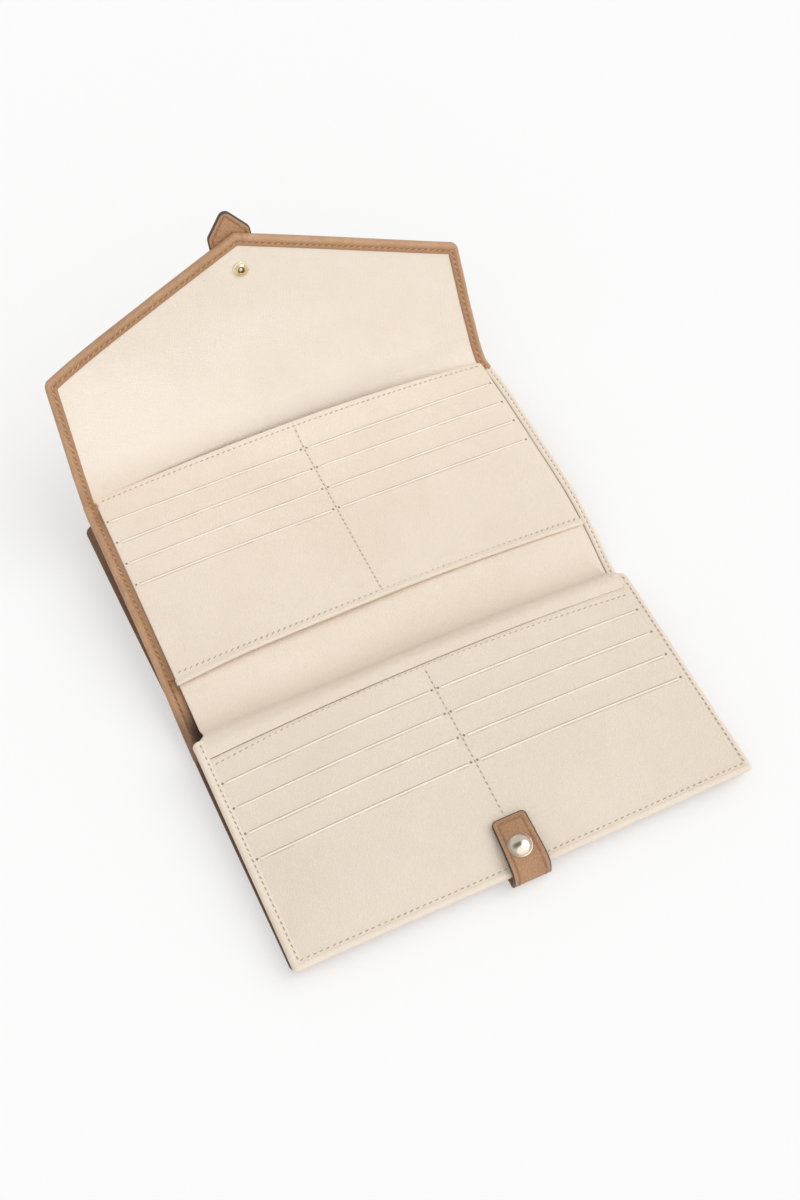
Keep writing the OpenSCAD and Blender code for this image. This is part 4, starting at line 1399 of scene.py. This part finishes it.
class WALLET_OT_flap(Builder, bpy.types.Operator):
    """Binding round the flap, its stitches, the strap behind it and the snap through both"""

    bl_idname = "wallet.flap"
    bl_label = "Flap's binding, strap and snap"

    def build(self, sizes):
        t = sizes.binding_height / MM
        k = dict(self.thread(sizes), pitch=2.9, size=2.2, radius=0.26, slant=0.45)
        profile = [
            (0.0, -1.1), (0.05, -0.3), (0.3, t * 0.35), (0.75, t * 0.78), (1.35, t), (2.1, t * 0.9),
            (2.65, t * 0.6), (SEAM, t * 0.38), (3.4, t * 0.5), (3.9, t * 0.62), (4.5, t * 0.52),
            (4.85, t * 0.28), (5.0, 0.0), (5.0, -2.3), (4.9, -2.8), (4.0, -3.0), (1.2, -3.1), (0.4, -2.8),
            (0.1, -2.2),
        ]
        left, right = (side_path(side, BRIDGE_FOLD - d, BAND_FOOT) for side, d in ((-1, 0.5), (1, 6.5)))
        for name, path, radii, closed, node in (
            ("flap_binding_band", BAND, BAND_RADII, (0, 0), "flap_binding"),
            ("bridge_binding_left", left, [0] * len(left), (0, 2.5), "bridge_edge_left"),
            ("bridge_binding_right", right, [0] * len(right), (3.2, 0), "bridge_edge_right"),
        ):
            o = piece(name, edging(cover, path, radii, profile, 2.0, rounded=closed), finish("binding"))
            row = sewn(cover, outline(path, radii, SEAM, 2.0), t * 0.45, seed=31, **k)
            thread = piece(f"{name}_stitches", row, finish("tan_thread"))
            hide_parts(node)
            for p in (o, thread):
                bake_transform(p)

        w, foot, tip = STRAP_HALF, POINT - 41, POINT + 10.1
        corners = [(w, foot), (w, tip - 10.5), (0, tip + 0.9), (-w, tip - 10.5), (-w, foot)]
        beside = [(x + STRAP_X, s) for x, s in corners]
        radii = (0, 3.2, 3.0, 3.2, 0)
        half = right_half(corners, radii)
        end = half[:, 1].max()

        def strap_sides(s):
            w = np.maximum(np.interp(s, half[:, 1], half[:, 0]), 0.1)
            return STRAP_X - w, STRAP_X + w

        rows = spaced((foot,), (end - 12, 2.5), (end - 2, 0.8), (end, 0.25))
        for name, top, bottom, node in (
            ("strap_front", -3.15, -4.05, "flap_strap_backing"),
            ("strap_back", -4.05, -4.95, "flap_strap"),
        ):
            leaf = slab(cover, rows, np.linspace(-1, 1, 12), strap_sides, top, bottom)
            strap = piece(name, leaf, finish("strap"))
            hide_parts(node)
            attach(strap, "flap")
        rim = [(-0.14, -3.25), (-0.14, -4.85), (0.2, -5.05), (0.3, -4.95), (0.3, -3.15), (0.2, -3.05)]
        edge = piece("strap_edge_paint", edging(cover, beside, radii, rim, 1.5), finish("paint"))
        line = outline(beside, radii, 1.9, 1.5)
        rows = [sewn(cover, line, h, seed=seed, **k) for h, seed in ((-3.15, 41), (-4.95, 42))]
        stitch = piece("strap_stitches", rows, finish("seam_thread"))
        for p in (edge, stitch):
            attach(p, "flap")

        axes = [v.reshape(3) for v in axes_at(cover, -0.9, POINT - 16.8)]
        ring = [
            (0, 0.12), (1.2, 0.12), (1.3, 0.85), (1.55, 1.15), (2.0, 1.12), (2.3, 0.75), (2.5, 0.58),
            (3.1, 0.6), (3.5, 0.46), (3.68, 0.2), (3.68, -0.2), (0, -0.2),
        ]
        knob = [(0, 0.8), (0.45, 0.74), (0.8, 0.5), (0.95, 0.12), (0.95, 0.0), (0, 0.0)]
        dome = [
            (0, -7.4), (1.5, -7.3), (3.4, -6.9), (4.9, -6.3), (5.7, -5.7), (6.0, -5.2), (5.9, -4.95),
            (0, -4.9),
        ]
        socket = piece("flap_socket_ring", turned(ring, *axes, 48), finish("socket"), 30)
        middle = piece("flap_socket_middle", turned(knob, *axes, 32), finish("silver"), 30)
        cap = piece("flap_cap_dome", turned(dome, *axes, 48), finish("gold"), 30)
        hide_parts("flap_snap_socket")
        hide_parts("flap_snap_cap")
        for p in (socket, cap, middle):
            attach(p, "flap")


def wall(over, under, steps, bulge=0.0, back=(0, 0, 0)):
    """A wall between two lines of points, bulging against x where it is high, with its back set off."""
    v = np.linspace(0, 1, steps)[None, :, None]
    front = over[:, None] * (1 - v) + under[:, None] * v
    front[..., 0] -= bulge * np.sin(np.pi * v[..., 0]) * smooth(2, 12, over[:, 2:3] - under[:, 2:3])
    ring = with_ends(np.concatenate([front, front[:, ::-1] + back], 1))
    return shell(ring, ring.copy())


class WALLET_OT_rear_pocket(Builder, bpy.types.Operator):
    """Rear pocket: its panel on the table and the gussets and foot that join it to the back"""

    bl_idname = "wallet.rear_pocket"
    bl_label = "Rear pocket"

    def build(self, sizes):
        def sides(s):
            cut = corner_cut(MOUTH - s, 4)
            wide = spline(s, (0, 60, MOUTH), (97.0, 98.4, 99.2))
            return cut - wide, wide - cut

        rows = spaced((4.0,), (MOUTH - 6, 3), (MOUTH, 0.6))
        for name, top, bottom, node in (
            ("rear_pocket_outer", -0.8, -1.7, "rear_pocket_leather"),
            ("rear_pocket_inner", 0.0, -0.8, "rear_pocket_lining"),
        ):
            leaf = slab(rear_pocket, rows, np.linspace(-1, 1, 40), sides, top, bottom)
            # The rear pocket is tan leather; this dark finish is painted shade.
            o = piece(name, leaf, finish("brown"))
            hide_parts(node)
            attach(o, "rear_pocket")

        # How deep under the cover's inner face the walls start, and how high over the table they end.
        start, end = -2.2, 1.7
        s = np.linspace(SPINE_FOLD + 8, BRIDGE_FOLD - 6, 40)
        for side, word in ((-1, "left"), (1, "right")):
            at = 0 * s + side * 92.0
            over = lifted(cover, at, s, 0 * s + start)
            under = np.stack([at + 0.4, over[:, 1], 0 * s + end], -1)
            gusset = wall(over, under, 9, bulge=side * 4.0, back=(-side * 0.7, 0, 0))
            # Gussets in the same dark finish of painted shade.
            o = piece(f"rear_gusset_wall_{word}", gusset, finish("brown"))
            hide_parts(f"rear_gusset_{word}")
            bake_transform(o)
        x = np.linspace(-91, 91, 40)
        over = lifted(cover, x, 0 * x + SPINE_FOLD + 7, 0 * x + start)
        under = np.stack([x, over[:, 1] - 1.0, 0 * x + end], -1)
        # The foot wall too is dark with painted shade.
        foot = piece("rear_pocket_foot_wall", wall(over, under, 7, back=(0, 0.8, 0)), finish("brown"))
        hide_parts("rear_gusset_foot")
        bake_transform(foot)


def dress(node, look):
    """Gives a solid that stays as it is one of the finishes."""
    o = bpy.data.objects[node]
    if not o.material_slots:
        o.data.materials.append(finish(look))
    for slot in o.material_slots:
        slot.material = finish(look)


class WALLET_OT_tab(Builder, bpy.types.Operator):
    """Snap tab round the lower page's free edge, its domed cap and the parts under it"""

    bl_idname = "wallet.tab"
    bl_label = "Snap tab"

    def build(self, sizes):
        k = dict(self.thread(sizes), pitch=2.7, size=2.1, radius=0.26, slant=0.3)
        # Where the tab has turned under the cover, and its half width there.
        turn, wide = TAB_REACH[7] + 1.0, 7.75
        corners = [(-wide, turn), (-7.7, 20), (-7.0, 0), (7.0, 0), (7.7, 20), (wide, turn)]
        radii = (0, 0, 1.9, 1.9, 0, 0)
        half = right_half(corners, radii)

        def sides(s):
            w = np.interp(s, half[:, 1], half[:, 0])
            return -w, w

        rows = spaced((0.05,), (2, 0.3), (turn, 0.8))
        columns = np.linspace(-1, 1, 16)
        for name, top, bottom, node in (
            ("tab_outer_leather", 1.5, 0.6, "tab_leather"),
            ("tab_inner_leather", 0.6, 0.0, "tab_lining"),
        ):
            leaf = slab(tab, rows, columns, sides, top, bottom, None, ("round", "flat"))
            o = piece(name, leaf, finish("tab"))
            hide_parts(node)
            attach(o, "tab")
        rim = [(-0.14, 0.05), (-0.14, 1.35), (0.15, 1.57), (0.28, 1.5), (0.28, 0.05), (0.1, -0.05)]
        edge = piece("tab_edge_paint", edging(tab, corners, radii, rim, 1.0), finish("paint"))
        path = [(-5.6, turn - 2), (-5.5, 20), (-4.9, 2.2), (4.9, 2.2), (5.5, 20), (5.6, turn - 2)]
        line = outline(path, (0, 0, 1.2, 1.2, 0, 0), 0, 1.0)
        stitch = piece("tab_stitches", sewn(tab, line, 1.5, seed=51, **k), finish("seam_thread"))
        for p in (edge, stitch):
            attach(p, "tab")
        rows, columns = spaced((turn,), (TAB_REACH[-1], 1.5)), np.linspace(-1, 1, 10)
        leaf = slab(tab, rows, columns, straight(-wide, wide), 1.45, 0.1, None, ("flat", "round"))
        anchor = piece("tab_anchor_leather", leaf, finish("tan"))
        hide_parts("tab_anchor")
        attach(anchor, "front")

        axes = [v.reshape(3) for v in axes_at(tab, 0.55, 12.9, 1.5)]
        dome = [
            (0, 2.3), (0.9, 2.26), (1.9, 2.08), (2.9, 1.72), (3.7, 1.26), (4.25, 0.8), (4.45, 0.52),
            (4.42, 0.4), (4.75, 0.34), (4.92, 0.16), (4.85, -0.05), (0, -0.05),
        ]
        cap = piece("tab_cap_dome", turned(dome, *axes, 56), finish("dome"), 35)
        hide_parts("tab_snap_cap")
        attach(cap, "tab")
        for node in ("tab_snap_socket", "page_stud", "page_stud_washer"):
            dress(node, "silver")
        for node in ("front_stud", "front_stud_washer"):
            dress(node, "gold")


OPERATORS = (
    WALLET_OT_stage,
    WALLET_OT_lower_page,
    WALLET_OT_upper_page,
    WALLET_OT_inner_sheet,
    WALLET_OT_cover,
    WALLET_OT_edge_strips,
    WALLET_OT_flap,
    WALLET_OT_rear_pocket,
    WALLET_OT_tab,
)


class WALLET_PT_panel(bpy.types.Panel):
    """Lists what builds the wallet, its sizes and its colours"""

    bl_idname = "WALLET_PT_panel"
    bl_label = "Coupon organizer wallet"
    bl_space_type = "VIEW_3D"
    bl_region_type = "UI"
    bl_category = "Wallet"

    def draw(self, context):
        for operator in OPERATORS:
            self.layout.operator(operator.bl_idname)
        for group in (context.scene.wallet_sizes, context.scene.wallet_colours):
            for name in group.__annotations__:
                self.layout.prop(group, name)


CLASSES = (WalletSizes, WalletColours, *OPERATORS, WALLET_PT_panel)


def register():
    for c in CLASSES:
        bpy.utils.register_class(c)
    bpy.types.Scene.wallet_sizes = PointerProperty(type=WalletSizes)
    bpy.types.Scene.wallet_colours = PointerProperty(type=WalletColours)


def unregister():
    del bpy.types.Scene.wallet_colours, bpy.types.Scene.wallet_sizes
    for c in reversed(CLASSES):
        bpy.utils.unregister_class(c)


def main():
    register()
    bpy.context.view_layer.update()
    for operator in OPERATORS:
        group, name = operator.bl_idname.split(".")
        getattr(getattr(bpy.ops, group), name)()


if __name__ == "__main__":
    main()
